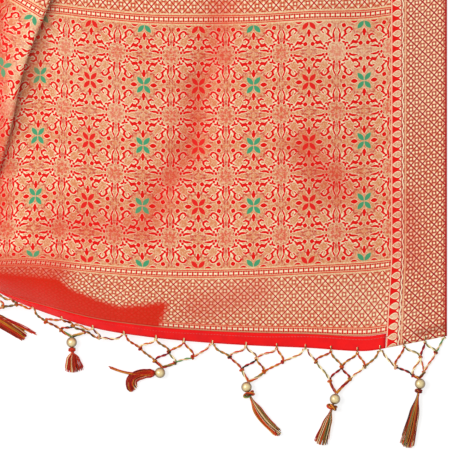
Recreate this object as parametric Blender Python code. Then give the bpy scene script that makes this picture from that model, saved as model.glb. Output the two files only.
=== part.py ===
"""A brocade saree laid on a table: its fringed end spread over the folded rest of its length.

Lengths are millimetres until a mesh is made. On the cloth, u runs across it from the right
selvedge and v runs up it from the hem. X runs right and Y away from the hem, measured from the
middle of the view, until the finished part is centred on its own outline.
"""
import math

import bmesh
import bpy
from mathutils import Vector

MILLIMETRE = 0.001

# The cloth as it was woven and cut
CLOTH_WIDTH = 1124.0
BORDER_WIDTH = 58.0
HEM_DEPTH = 15.0
PALLU_LENGTH = 415.0
CLOTH_WALL = 1.2
HEM_TOP = 1.1
SEAM_GAP = 0.3

# How the cloth lies: rows of the pattern at the brow of the mound and just above it
BROW_V = 91.0
SHOULDER_V = 150.0
BACK_V = 545.0
RISE_V = 105.0
LAY_COLUMNS = ("u", "hem_x", "hem_y", "brow_x", "brow_y", "shoulder_x", "shoulder_y", "heading", "hem_height")
LAY = (
    (0.0, 228.1, -114.1, 228.1, -25.7, 228.1, 33.3, 0.0, 0.6),
    (58.0, 170.6, -125.4, 170.6, -33.9, 170.6, 25.1, 0.0, 0.6),
    (86.0, 142.8, -129.5, 142.8, -37.0, 142.8, 21.7, 0.0, 0.6),
    (142.0, 85.3, -125.9, 84.8, -40.1, 86.0, 20.2, 0.0, 0.8),
    (198.0, 28.8, -123.3, 29.0, -43.2, 29.2, 16.7, 0.0, 1.5),
    (254.0, -25.7, -119.7, -27.7, -44.6, -27.4, 15.8, 0.0, 5.0),
    (310.0, -77.1, -114.5, -84.5, -43.2, -85.0, 16.7, 0.7, 12.0),
    (366.0, -128.4, -106.3, -141.2, -38.6, -141.0, 21.7, 1.3, 17.0),
    (422.0, -177.8, -91.4, -196.3, -32.9, -194.3, 26.8, 2.3, 22.0),
    (478.0, -223.0, -73.0, -249.0, -32.0, -245.0, 24.0, 3.0, 25.0),
    (534.0, -268.0, -46.0, -297.0, -3.0, -293.0, 52.8, 31.0, 27.0),
    (646.0, -366.0, 9.0, -393.0, 55.0, -389.0, 110.5, 31.0, 22.0),
    (850.0, -548.0, 104.0, -567.5, 160.0, -563.8, 215.6, 31.0, 8.0),
    (1124.0, -792.0, 236.0, -802.0, 300.0, -798.6, 356.7, 31.0, 0.6),
)

# Height of the mound, read across the right half and in from the left selvedge
MOUND_FROM_RIGHT = (
    (-400.0, 91.0), (-305.0, 90.0), (-252.0, 88.0), (-196.0, 82.0), (-141.0, 72.0), (-84.0, 60.0),
    (-28.0, 48.0), (29.0, 38.0), (85.0, 26.0), (143.0, 9.0), (171.0, 3.0), (228.0, 0.6), (260.0, 0.6),
)
MOUND_FROM_LEFT = (
    (-20.0, 0.6), (0.0, 0.6), (30.0, 8.0), (80.0, 31.0), (140.0, 56.0), (220.0, 75.0),
    (320.0, 86.0), (420.0, 90.0), (520.0, 91.0), (700.0, 91.0),
)
BACK_DROOP = 0.12
BACK_DROOP_V = 430.0
BACK_LEAST_HEIGHT = 3.4

# The pleat that turns the left half of the cloth
PLEAT_U = 478.0
PLEAT_LEFT_HEADING = 31.0
PLEAT_RIGHT_HEADING = 3.0
PLEAT_LEAST = 6.0
PLEAT_OPENS = 40.0
PLEAT_BOW = 6.0
PLEAT_BOW_V = 288.0
PLEAT_BOW_REACH = 85.0
LAYER_STEP = 2.4
TOP_LAYER_EASE = 38.0
LAYER_EASE_STARTS = 2.0
LEFT_CELLS = 12
LEFT_BORDER_CELLS = 3

# Rows of points across the pleat, as shares of its way from the inner fold to the outer one
UNDER_PLEAT = (0.25, 0.5)
UNDER_PLEAT_OPEN = 0.9
UNDER_PLEAT_FOLDED = 1.6
INNER_TURN_SHARE = 0.47
INNER_TURN_STEP = 0.02
MIDDLE_LAYER_SHARE = 0.72
OUTER_TURN_SHARE = 0.88
OUTER_TURN_STEP = 0.04
TURN_STEP = 60.0
TURNS = (0.0, 60.0, 120.0, 180.0)
OVER_PLEAT = (0.25, 0.5, 0.8, 1.15, 1.6)

# The back edge, where the plain cloth turns under
ROLL_RADIUS = 4.5
ROLL_LEAST_RADIUS = 1.3
ROLL_SHARE = 0.25
TUCK = 8.0

# The folded rest of the saree
FOLD_RIGHT_U = 74.0
FOLD_LEFT_U = 1052.0
FOLD_GAP = 1.9
STEEP_EXTRA = 1.5
FOLD_BACK_STEP = 16.0
FOLD_STEP_SHARE = 0.62
FOLD_LEAST_HEIGHT = 1.2
FOLD_LAYERS = 8
FOLD_BULGE = 7.0
FOLD_ROWS = (38.0, 50.0, 63.0, 77.0, 92.0, 110.0, 150.0, 205.0, 270.0, 340.0, 400.0, 445.0, 470.0)
FOLD_COLUMNS = 26
FOLD_BACK_ROW = 8.0
FOLD_BACK_SHORT = 6.0
FOLD_BACK_EDGE = 2.0
FOLD_WAY_REACH = 10.0
LAYER_PROFILE_COLUMNS = ("down", "bulge")
LAYER_PROFILE = ((0.0, 0.35), (0.3, 0.95), (0.7, 0.9))
LAYER_EVEN = 0.75
LAYER_UNEVEN = 0.25
LAYER_BEAT = 2.1
COLUMN_BEAT = 0.7

# Fringe
CORD_RADIUS = 1.1
DOUBLE_CORD_RADIUS = 1.5
ANCHOR_SWELL = 0.2
KNOT_RADIUS = 2.1
COLLAR_KNOT_RADIUS = 1.95
BEAD_RADIUS = 5.5
CORD_PARTING = 1.9
MIDDLE_ANCHOR_SHARE = 0.75
CORD_CROWDING = 1.2
WIDEST_CROWDED_TURN = 3.0
BEAD_TOP_GAPS = 1.85
FLOOR_CLEARANCE = 0.4
SEEN_ANCHORS = (
    2.6, 22.8, 44.5, 69.4, 92.6, 119.0, 144.5, 173.6, 205.4, 240.8, 271.9, 303.3, 339.1, 374.3, 410.3, 446.2,
)
LAST_ANCHOR = 1121.4
FRINGE_GROUPS = 13
ANCHORS_IN_GROUP = 3
NET_END = 9
NET_LINKS = (
    (0, 4), (1, 4), (1, 5), (2, 5), (2, 6), (3, 6), (4, 7), (5, 7), (5, 8), (6, 8), (7, NET_END), (8, NET_END),
)
KNOT_COLUMNS = ("left", "middle", "right", "low_left", "low_right", "bead", "bend", "end")
SEEN_FRINGE = (
    ((175.7, -145.9), (201.0, -135.6), (216.8, -131.1), (193.2, -154.7), (204.5, -151.0),
     (200.4, -163.1), (194.5, -197.0), (186.0, -229.0)),
    ((93.5, -140.8), (120.2, -145.9), (143.4, -145.9), (107.9, -160.3), (128.4, -158.6),
     (113.0, -178.8), (104.0, -205.0), (97.5, -226.0)),
    ((5.1, -135.6), (32.6, -137.1), (59.1, -140.8), (17.5, -149.0), (40.1, -151.0),
     (22.1, -166.5), (32.0, -196.0), (57.0, -215.5)),
    ((-86.8, -126.9), (-57.5, -130.5), (-33.4, -136.2), (-71.9, -139.7), (-51.4, -141.8),
     (-66.8, -151.8), (-92.0, -153.0), (-111.0, -160.0)),
    ((-183.9, -99.2), (-156.0, -103.5), (-129.5, -115.9), (-168.5, -108.0), (-144.5, -110.0),
     (-157.5, -120.5), (-156.5, -137.0), (-154.5, -151.5)),
    ((-264.0, -58.6), (-242.5, -69.0), (-214.0, -81.5), (-260.5, -71.5), (-228.0, -84.0),
     (-247.0, -90.5), (-222.0, -103.0), (-196.0, -114.0)),
)
UNSEEN_COLUMNS = ("reach", "sway", "tassel")
UNSEEN_FRINGE = (
    (37.0, -14.0, 53.0), (40.0, 11.0, 50.0), (36.0, 24.0, 55.0), (41.0, -7.0, 52.0),
    (38.0, -24.0, 51.0), (42.0, 9.0, 56.0), (40.0, -12.0, 50.0),
)
UNSEEN_KNOTS = (("right", 0.36), ("middle", 0.4), ("left", 0.34), ("low_right", 0.66), ("low_left", 0.68))
TASSEL_BEND_SHARE = 0.5
TASSEL_STRAIGHT_SHARE = 0.45
KNOT_LEVELS = (("left", 0.55), ("middle", 0.55), ("right", 0.55), ("low_left", 0.28), ("low_right", 0.28))
KNOT_RISE = 1.0
HEAD_RING_COLUMNS = ("distance", "radius")
HEAD_RINGS = ((0.12, 2.0), (3.4, 3.3), (6.6, 2.5), (10.0, 4.0))
STRAND_STEPS = 2
TASSEL_HALF_WIDTH = 8.5
TASSEL_HALF_HEIGHT = 3.2
TASSEL_LIFT = 0.3
HEAD_DROP = 0.6
HEAD_SIDES = 8
INNER_SIDES = 4
INNER_SHARE = 0.42
STRAND_THICKNESS = 0.62
STRAND_THINNING = 0.14
STRAND_SHORTER = 3.0

# Colour, roughness and metallic value of each finish
FINISHES = {
    "zari_brocade": ((0.72, 0.26, 0.12), 0.42, 0.35),
    "red_silk": ((0.75, 0.03, 0.02), 0.5, 0.0),
    "fringe_thread": ((0.62, 0.34, 0.18), 0.7, 0.0),
    "gilt_bead": ((0.78, 0.64, 0.38), 0.3, 0.8),
}


def material(name):
    """A plain finish of the given name."""
    found = bpy.data.materials.get(name)
    if found:
        return found
    colour, roughness, metallic = FINISHES[name]
    made = bpy.data.materials.new(name)
    made.use_nodes = True
    shader = made.node_tree.nodes["Principled BSDF"]
    shader.inputs["Base Color"].default_value = (*colour, 1.0)
    shader.inputs["Roughness"].default_value = roughness
    shader.inputs["Metallic"].default_value = metallic
    return made


def smooth(value):
    """Ease from 0 to 1."""
    value = min(1.0, max(0.0, value))
    return value * value * (3.0 - 2.0 * value)


def hermite(start, end, start_slope, end_slope, span, fraction):
    """A cubic between two values that leaves and arrives at given slopes."""
    square, cube = fraction * fraction, fraction ** 3
    return ((2 * cube - 3 * square + 1) * start + (cube - 2 * square + fraction) * span * start_slope
            + (3 * square - 2 * cube) * end + (cube - square) * span * end_slope)


def along(knots, values, place):
    """A smooth curve through values at knots, read at a place."""
    place = min(knots[-1], max(knots[0], place))
    last = len(knots) - 1
    step = next((i for i in range(last) if place <= knots[i + 1]), last - 1)
    slopes = []
    for knot in (step, step + 1):
        before, after = max(0, knot - 1), min(last, knot + 1)
        slopes.append((values[after] - values[before]) / (knots[after] - knots[before]))
    span = knots[step + 1] - knots[step]
    return hermite(values[step], values[step + 1], *slopes, span, (place - knots[step]) / span)


LAY_KNOTS = [row[0] for row in LAY]


def lay(column, u):
    """One column of the lay table, read at u."""
    index = LAY_COLUMNS.index(column)
    return along(LAY_KNOTS, [row[index] for row in LAY], u)


def lay_point(row_name, u):
    """The plan point of a named row of the cloth at u."""
    return Vector((lay(row_name + "_x", u), lay(row_name + "_y", u)))


def heading_vector(degrees):
    """The plan direction that the cloth's length takes at a heading east of +Y."""
    turn = math.radians(degrees)
    return Vector((math.sin(turn), math.cos(turn)))


def lower_plan(u, v):
    """The plan place of a point between the hem and the shoulder of the mound."""
    hem, brow, shoulder = (lay_point(name, u) for name in ("hem", "brow", "shoulder"))
    slope_low = (brow - hem) / BROW_V
    slope_high = (shoulder - brow) / (SHOULDER_V - BROW_V)
    slope_brow = (slope_low + slope_high) / 2
    slope_hem = slope_low * 1.5 - slope_brow * 0.5
    if v <= BROW_V:
        return hermite(hem, brow, slope_hem, slope_brow, BROW_V, v / BROW_V)
    span = SHOULDER_V - BROW_V
    slope_shoulder = heading_vector(lay("heading", u))
    return hermite(brow, shoulder, slope_brow, slope_shoulder, span, (v - BROW_V) / span)


def right_plan(u, v):
    """The plan place of a point on the right half, also under the pleat."""
    if v <= SHOULDER_V:
        return lower_plan(u, v)
    heading = lay("heading", min(u, PLEAT_U))
    return lay_point("shoulder", u) + heading_vector(heading) * (v - SHOULDER_V)


def left_plan(u, v):
    """The plan place of a point on the turned left half."""
    if v <= SHOULDER_V:
        return lower_plan(u, v)
    return lay_point("shoulder", u) + heading_vector(PLEAT_LEFT_HEADING) * (v - SHOULDER_V)


LEFT_ACROSS = Vector((-math.cos(math.radians(PLEAT_LEFT_HEADING)), math.sin(math.radians(PLEAT_LEFT_HEADING))))


def mound_height(plan):
    """Height of the top of the heap under a plan place, before the hem's slope."""
    pleat_foot = lay_point("shoulder", PLEAT_U)
    from_left = CLOTH_WIDTH - PLEAT_U - (plan - pleat_foot).dot(LEFT_ACROSS)
    right = along([row[0] for row in MOUND_FROM_RIGHT], [row[1] for row in MOUND_FROM_RIGHT], plan.x)
    left = along([row[0] for row in MOUND_FROM_LEFT], [row[1] for row in MOUND_FROM_LEFT], from_left)
    return min(right, left)


def cloth_height(u, v, plan):
    """Height of the middle of the lowest cloth layer."""
    offset = plan - lay_point("shoulder", PLEAT_U)
    reach = min(offset.dot(heading_vector(turn)) for turn in (PLEAT_RIGHT_HEADING, PLEAT_LEFT_HEADING))
    near_back = smooth((SHOULDER_V + reach - BACK_DROOP_V) / (BACK_V - BACK_DROOP_V))
    top = max(mound_height(plan) * (1.0 - BACK_DROOP * near_back), BACK_LEAST_HEIGHT * near_back)
    if v >= RISE_V:
        return top
    low = lay("hem_height", u)
    return low + (top - low) * math.sin(math.pi / 2 * v / RISE_V)


def pleat_half(v):
    """Half the width of cloth taken up on each side of the pleat's middle."""
    opening = math.tan(math.radians((PLEAT_LEFT_HEADING - PLEAT_RIGHT_HEADING) / 2))
    return max(PLEAT_LEAST, (v - SHOULDER_V) * opening)


def pleat_bow(v):
    """How far the pleat's outer fold bows to the left of a straight line."""
    return PLEAT_BOW * smooth(1.0 - abs(v - PLEAT_BOW_V) / PLEAT_BOW_REACH)


def pleat_fold(v):
    """How far the pleat is folded flat at v, from 0 to 1."""
    return smooth((v - SHOULDER_V) / PLEAT_OPENS)


def rolled(v):
    """Where v goes once the cloth turns over the back edge: straight v, turn and tuck."""
    if v <= BACK_V:
        return v, 0.0, 0.0
    turn = min(math.pi, (v - BACK_V) / ROLL_RADIUS)
    tuck = max(0.0, v - BACK_V - math.pi * ROLL_RADIUS)
    return BACK_V, turn, tuck


def placed(plan_at, u, v, layer):
    """A cloth point from its plan function, its place and its layer's height above the lowest."""
    straight, turn, tuck = rolled(v)
    base = cloth_height(u, straight, plan_at(straight))
    radius = min(ROLL_RADIUS, max(ROLL_LEAST_RADIUS, base * ROLL_SHARE))
    plan = plan_at(straight + (radius + layer) * math.sin(turn) - tuck)
    return Vector((plan.x, plan.y, base - radius + (radius + layer) * math.cos(turn)))


def top_layer_height(plan, v):
    """How far the layer over the pleat is lifted, easing down past the inner fold."""
    inner = lay_point("shoulder", PLEAT_U)
    direction = heading_vector(PLEAT_RIGHT_HEADING)
    offset = plan - inner
    past = offset.y * direction.x - offset.x * direction.y
    return 2 * LAYER_STEP * pleat_fold(v) * (1.0 - smooth((past - LAYER_EASE_STARTS) / TOP_LAYER_EASE))


def right_columns():
    """Plain columns of the right half: fractions of the width from the selvedge to the pleat."""
    fixed = (0.0, 20.0, 40.0, BORDER_WIDTH, 86.0, 114.0, 142.0, 170.0, 198.0, 226.0, 254.0, 282.0, 310.0)
    spread = (0.2, 0.4, 0.6, 0.8, 1.0)
    return fixed, spread


def cloth_row(v):
    """Every middle point of the cloth along one v, from the right selvedge to the left."""
    half = pleat_half(v)
    fold = pleat_fold(v)
    start, end = PLEAT_U - half, PLEAT_U + half + pleat_bow(v)
    fixed, spread = right_columns()
    points = [placed(lambda r, u=u: right_plan(u, r), u, v, 0.0) for u in fixed]
    for part in spread:
        u = fixed[-1] + (start - fixed[-1]) * part
        points.append(placed(lambda r, u=u: right_plan(u, r), u, v, 0.0))

    def open_plan(part, reach):
        return right_plan(start, reach).lerp(left_plan(end, reach), part)

    def inner_plan(reach):
        return right_plan(PLEAT_U, reach)

    def outer_plan(reach):
        return left_plan(end, reach)

    def pleat_point(part, folded_plan, layer):
        """A point of the pleat, part of the way from lying open to lying folded."""
        return placed(lambda r: open_plan(part, r).lerp(folded_plan(r), fold), PLEAT_U, v, layer * fold)

    radius = LAYER_STEP / 2
    for part in UNDER_PLEAT:
        points.append(pleat_point(part * UNDER_PLEAT_OPEN,
                                  lambda r, p=part: right_plan(start + half * p * UNDER_PLEAT_FOLDED, r), 0.0))
    for turn in TURNS:
        angle = math.radians(turn)
        reach_out = radius * math.sin(angle)
        rise = radius * (1 - math.cos(angle))
        points.append(pleat_point(
            INNER_TURN_SHARE + INNER_TURN_STEP * turn / TURN_STEP,
            lambda r, s=reach_out: inner_plan(r) + (inner_plan(r) - outer_plan(r)).normalized() * s, rise))
    points.append(pleat_point(MIDDLE_LAYER_SHARE, lambda r: inner_plan(r).lerp(outer_plan(r), 0.5), LAYER_STEP))
    for turn in TURNS:
        angle = math.radians(turn)
        reach_out = radius * math.sin(angle)
        rise = LAYER_STEP + radius * (1 - math.cos(angle))
        points.append(pleat_point(
            OUTER_TURN_SHARE + OUTER_TURN_STEP * turn / TURN_STEP,
            lambda r, s=reach_out: outer_plan(r) + (outer_plan(r) - inner_plan(r)).normalized() * s, rise))

    left_end = CLOTH_WIDTH - BORDER_WIDTH
    near = end + half * OVER_PLEAT[-1] + TOP_LAYER_EASE
    places = [end + (near - end) * part / OVER_PLEAT[-1] for part in OVER_PLEAT]
    places += [near + (left_end - near) * part / LEFT_CELLS for part in range(1, LEFT_CELLS + 1)]
    places += [left_end + BORDER_WIDTH * part / LEFT_BORDER_CELLS for part in range(1, LEFT_BORDER_CELLS + 1)]
    for u in places:
        straight = rolled(v)[0]
        layer = top_layer_height(left_plan(u, straight), straight)
        points.append(placed(lambda r, u=u: left_plan(u, r), u, v, layer))
    return points


def surface_normals(grid):
    """Unit normals of a grid of points, from their neighbours."""
    rows, columns = len(grid), len(grid[0])
    normals = []
    for r in range(rows):
        line = []
        for c in range(columns):
            across = grid[r][min(c + 1, columns - 1)] - grid[r][max(c - 1, 0)]
            up = grid[min(r + 1, rows - 1)][c] - grid[max(r - 1, 0)][c]
            line.append(up.cross(across).normalized())
        normals.append(line)
    return normals


def make_object(name, vertices, faces, finish):
    """An object from points in millimetres, its faces pointing out."""
    mesh = bpy.data.meshes.new(name)
    mesh.from_pydata([tuple(point * MILLIMETRE) for point in vertices], [], faces)
    mesh.validate()
    shape = bmesh.new()
    shape.from_mesh(mesh)
    bmesh.ops.recalc_face_normals(shape, faces=shape.faces)
    shape.to_mesh(mesh)
    shape.free()
    mesh.materials.append(material(finish))
    mesh.shade_smooth()
    mesh.set_sharp_from_angle(angle=math.radians(50))
    made = bpy.data.objects.new(name, mesh)
    bpy.context.scene.collection.objects.link(made)
    return made


def cloth_wall(name, grid, finish, above=CLOTH_WALL / 2, below=CLOTH_WALL / 2, used=lambda r, c: True):
    """A closed wall either side of a grid of middle points, over the cells that are used."""
    rows, columns = len(grid), len(grid[0])
    normals = surface_normals(grid)
    numbers, vertices, faces = {}, [], []

    def corner(side, r, c):
        key = (side, r, c)
        if key not in numbers:
            numbers[key] = len(vertices)
            shift = above if side == "top" else -below
            vertices.append(grid[r][c] + normals[r][c] * shift)
        return numbers[key]

    for r in range(rows - 1):
        for c in range(columns - 1):
            if not used(r, c):
                continue
            ring = ((r, c), (r, c + 1), (r + 1, c + 1), (r + 1, c))
            faces.append([corner("top", *place) for place in ring])
            faces.append([corner("under", *place) for place in reversed(ring)])
            neighbours = ((r - 1, c), (r, c + 1), (r + 1, c), (r, c - 1))
            for edge, (nr, nc) in enumerate(neighbours):
                inside = 0 <= nr < rows - 1 and 0 <= nc < columns - 1 and used(nr, nc)
                if inside:
                    continue
                first, second = ring[edge], ring[(edge + 1) % 4]
                faces.append([corner("top", *second), corner("top", *first),
                              corner("under", *first), corner("under", *second)])
    return make_object(name, vertices, faces, finish)


def build_pallu():
    """The patterned end, with its borders reaching the hem's edge."""
    rows = [0.0, HEM_DEPTH + SEAM_GAP / 2, 28.0, 42.0, 56.0, 72.0, 91.0, 112.0, 132.0, SHOULDER_V, 163.0, 177.0,
            193.0, 220.0, 252.0, 285.0, 318.0, 351.0, 384.0, PALLU_LENGTH - SEAM_GAP / 2]
    grid = [cloth_row(v) for v in rows]
    fixed, spread = right_columns()
    border_cells = fixed.index(BORDER_WIDTH)
    last_cells = len(grid[0]) - 1 - LEFT_BORDER_CELLS

    def used(r, c):
        return r > 0 or c < border_cells or c >= last_cells

    return cloth_wall("pallu", grid, "zari_brocade", used=used)


def build_body_stretch():
    """The plain red cloth behind the pallu, turned under at the back edge."""
    rows = [PALLU_LENGTH + SEAM_GAP / 2, 445.0, 475.0, 503.0, 528.0, BACK_V]
    rows += [BACK_V + math.pi * ROLL_RADIUS * part / 4 for part in range(1, 5)]
    rows.append(BACK_V + math.pi * ROLL_RADIUS + TUCK)
    return cloth_wall("body_stretch", [cloth_row(v) for v in rows], "red_silk")


def hem_point(u, v):
    """A middle point of the cloth near the hem."""
    return placed(lambda r: lower_plan(u, r), u, v, 0.0)


def build_hem():
    """The turned hem between the two borders."""
    fixed, spread = right_columns()
    first = fixed.index(BORDER_WIDTH)
    grid = []
    for v in (0.0, HEM_DEPTH / 2, HEM_DEPTH - SEAM_GAP / 2):
        row = cloth_row(v)[first:-LEFT_BORDER_CELLS]
        row[0] = hem_point(BORDER_WIDTH + SEAM_GAP, v)
        row[-1] = hem_point(CLOTH_WIDTH - BORDER_WIDTH - SEAM_GAP, v)
        grid.append(row)
    return cloth_wall("pallu_hem", grid, "red_silk", above=HEM_TOP)


def fold_plan(part, v):
    """A plan place over the folded body, part of the way from its right side to its left."""
    turn_at = (PLEAT_U - FOLD_RIGHT_U) / (FOLD_LEFT_U - FOLD_RIGHT_U)
    half = max(0.0, v - SHOULDER_V) * math.tan(math.radians((PLEAT_LEFT_HEADING - PLEAT_RIGHT_HEADING) / 2))
    if part <= turn_at:
        u = FOLD_RIGHT_U + (PLEAT_U - half - FOLD_RIGHT_U) * part / turn_at
        return u, right_plan(u, v)
    start = PLEAT_U + half
    u = start + (FOLD_LEFT_U - start) * (part - turn_at) / (1 - turn_at)
    return u, left_plan(u, v)


def fold_top(part, v, drop=0.0):
    """A point on top of the folded body, clear of the cloth that lies over it."""
    u, plan = fold_plan(part, v)
    height = cloth_height(u, min(v, BACK_V), plan)
    steep = 1.0 + STEEP_EXTRA * smooth((SHOULDER_V - v) / SHOULDER_V) * min(1.0, height / 40.0)
    clear = (CLOTH_WALL / 2 + FOLD_GAP) * steep
    return Vector((plan.x, plan.y, max(FOLD_LEAST_HEIGHT, height - clear - min(drop, height * FOLD_STEP_SHARE))))


def build_folded_body():
    """The folded length: one rounded solid, flat underneath and layered along its back."""
    parts = [step / FOLD_COLUMNS for step in range(FOLD_COLUMNS + 1)]
    grid = [[fold_top(part, v) for part in parts] for v in FOLD_ROWS]
    grid.append([fold_top(part, FOLD_ROWS[-1] + FOLD_BACK_ROW, FOLD_BACK_STEP) for part in parts])
    back_v = BACK_V - FOLD_BACK_SHORT
    crest = [fold_top(part, back_v, FOLD_BACK_STEP) for part in parts]
    outward = []
    for part in parts:
        ahead = (fold_plan(part, back_v)[1] - fold_plan(part, back_v - FOLD_WAY_REACH)[1]).normalized()
        outward.append(Vector((ahead.x, ahead.y, 0.0)))
    grid.append([point - out * FOLD_BACK_EDGE for point, out in zip(crest, outward)])
    for layer in range(FOLD_LAYERS):
        for down, bulge in LAYER_PROFILE:
            level = 1.0 - (layer + down) / FOLD_LAYERS
            line = []
            for number, (point, out) in enumerate(zip(crest, outward)):
                uneven = LAYER_EVEN + LAYER_UNEVEN * math.sin(layer * LAYER_BEAT + number * COLUMN_BEAT)
                side = out * FOLD_BULGE * bulge * uneven
                line.append(Vector((point.x + side.x, point.y + side.y, point.z * level)))
            grid.append(line)
    grid.append([Vector((point.x, point.y, 0.0)) for point in crest])
    rows, columns = len(grid), len(parts)
    vertices = [point for line in grid for point in line]
    faces = []
    for r in range(rows - 1):
        for c in range(columns - 1):
            first = r * columns + c
            faces.append([first, first + 1, first + columns + 1, first + columns])

    def foot(point):
        vertices.append(Vector((point.x, point.y, 0.0)))
        return len(vertices) - 1

    last = (rows - 1) * columns
    front_feet = [foot(point) for point in grid[0]]
    for c in range(columns - 1):
        faces.append([c + 1, c, front_feet[c], front_feet[c + 1]])
    side_feet = []
    top_rows = len(FOLD_ROWS) + 1
    for c, front, back in ((0, front_feet[0], last), (columns - 1, front_feet[-1], last + columns - 1)):
        feet = [front] + [foot(grid[r][c]) for r in range(1, top_rows)] + [back]
        for r in range(top_rows - 1):
            top = r * columns + c
            faces.append([top, top + columns, feet[r + 1], feet[r]])
        end = [(r * columns + c) for r in range(top_rows - 1, rows)]
        faces.append(end[:-1] + [back, feet[-2]])
        side_feet.append(feet)
    outline = front_feet + side_feet[1][1:-1] + [last + c for c in reversed(range(columns))]
    outline += list(reversed(side_feet[0][1:-1]))
    faces.append(outline)
    return make_object("folded_body", vertices, faces, "red_silk")


def anchors():
    """Where the fringe cords leave the hem, as u."""
    places = list(SEEN_ANCHORS)
    total = FRINGE_GROUPS * ANCHORS_IN_GROUP + 1
    left = total - len(places)
    step = (LAST_ANCHOR - places[-1]) / left
    return places + [places[-1] + step * (number + 1) for number in range(left)]


def edge_frame(u):
    """A point of the hem's edge, the way out from it and the way along it, in plan."""
    point = hem_point(u, 0.0)
    beside = hem_point(min(u + 4.0, CLOTH_WIDTH), 0.0) - hem_point(max(u - 4.0, 0.0), 0.0)
    side = Vector((beside.x, beside.y, 0.0)).normalized()
    out = Vector((-side.y, side.x, 0.0))
    return point, out, side


def fringe_group(number):
    """Knot, bead and tassel places of one group, right to left: a dictionary of points."""
    places = anchors()[number * ANCHORS_IN_GROUP:(number + 1) * ANCHORS_IN_GROUP + 1]
    ends = []
    for index, u in enumerate(places):
        point, _, side = edge_frame(u)
        outer = index in (0, ANCHORS_IN_GROUP)
        parting = {0: CORD_PARTING, ANCHORS_IN_GROUP: -CORD_PARTING}.get(index, 0.0)
        down = (point - hem_point(u, 4.0)).normalized()
        clear = SEAM_GAP + CORD_RADIUS * (1.0 if outer else MIDDLE_ANCHOR_SHARE) - CORD_RADIUS * down.z
        end = point + down * clear + side * parting
        end.z = max(end.z, CORD_RADIUS + FLOOR_CLEARANCE)
        ends.append(end)
    if number < len(SEEN_FRINGE):
        flat = dict(zip(KNOT_COLUMNS, (Vector((x, y, 0.0)) for x, y in SEEN_FRINGE[number])))
    else:
        reach, sway, tassel = UNSEEN_FRINGE[number - len(SEEN_FRINGE)]

        def out_from(u, distance):
            point, out, _ = edge_frame(u)
            return Vector((point.x, point.y, 0.0)) + out * distance

        between = [(places[i] + places[i + 1]) / 2 for i in range(ANCHORS_IN_GROUP)]
        carried = {"right": between[0], "middle": between[1], "left": between[2],
                   "low_right": places[1], "low_left": places[2]}
        flat = {name: out_from(carried[name], reach * share) for name, share in UNSEEN_KNOTS}
        flat["bead"] = out_from(between[1], reach)
        out = edge_frame(between[1])[1]
        turn = math.radians(sway)
        along_tassel = Vector((out.x * math.cos(turn) - out.y * math.sin(turn),
                               out.x * math.sin(turn) + out.y * math.cos(turn), 0.0))
        flat["bend"] = flat["bead"] + out * tassel * TASSEL_BEND_SHARE
        flat["end"] = (flat["bead"] + out * tassel * TASSEL_STRAIGHT_SHARE
                       + along_tassel * tassel * (1.0 - TASSEL_STRAIGHT_SHARE))
    hem_height = ends[1].z
    for name, share in KNOT_LEVELS:
        flat[name].z = max(KNOT_RADIUS + FLOOR_CLEARANCE, hem_height * share + KNOT_RISE)
    flat["bead"].z = BEAD_RADIUS
    return ends, flat


def bead_top(points):
    """The place where the net meets its bead."""
    bead = points["bead"]
    back = (points["low_left"] + points["low_right"]) / 2 - bead
    return bead + back.normalized() * (BEAD_RADIUS + BEAD_TOP_GAPS * SEAM_GAP)


def knotted_mesh(nodes, links, swell):
    """Vertices and faces of flat-sided cords that join at swollen knots, as one closed body."""
    vertices, faces, mouths = [], [], {}
    for index, node in enumerate(nodes):
        ways = []
        for link, (start, finish) in enumerate(links):
            if index in (start, finish):
                other = nodes[finish if index == start else start]
                ways.append((math.atan2(other.y - node.y, other.x - node.x), link))
        ways.sort()
        widest = max(cord_radius(links[link]) for _, link in ways)
        turns = [(ways[(i + 1) % len(ways)][0] - ways[i][0]) % (2 * math.pi) for i in range(len(ways))]
        tightest = min(turns) if len(ways) > 1 else math.pi
        back = max(swell[index], CORD_CROWDING * widest / math.tan(min(tightest, WIDEST_CROWDED_TURN) / 2))
        top, under = [], []
        for angle, link in ways:
            radius = cord_radius(links[link])
            away = Vector((math.cos(angle), math.sin(angle), 0.0))
            side = Vector((-away.y, away.x, 0.0))
            corners = []
            for turn in (-1, 1):
                for rise, ring in ((radius, top), (-radius, under)):
                    corners.append(len(vertices))
                    ring.append(len(vertices))
                    vertices.append(node + away * back + side * radius * turn + Vector((0, 0, rise)))
            mouths[(index, link)] = corners
        if len(ways) == 1:
            low_top, low_under, high_top, high_under = mouths[(index, ways[0][1])]
            faces.append([low_top, high_top, high_under, low_under])
            continue
        for ring, rise in ((top, swell[index]), (under, -swell[index])):
            crown = len(vertices)
            vertices.append(node + Vector((0, 0, math.copysign(max(abs(rise), widest), rise))))
            for step in range(len(ring)):
                faces.append([crown, ring[step], ring[(step + 1) % len(ring)]])
        for step in range(len(ways)):
            first, second = 2 * step + 1, (2 * step + 2) % len(top)
            faces.append([top[first], top[second], under[second], under[first]])
    for link, (start, finish) in enumerate(links):
        low_top, low_under, high_top, high_under = mouths[(start, link)]
        far_low_top, far_low_under, far_high_top, far_high_under = mouths[(finish, link)]
        faces.append([low_top, high_top, far_low_top, far_high_top])
        faces.append([low_under, high_under, far_low_under, far_high_under])
        faces.append([low_top, low_under, far_high_under, far_high_top])
        faces.append([high_top, high_under, far_low_under, far_low_top])
    return vertices, faces


def cord_radius(link):
    """Half the thickness of a cord: the two that reach the bead are doubled."""
    return DOUBLE_CORD_RADIUS if link[1] == NET_END else CORD_RADIUS


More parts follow.
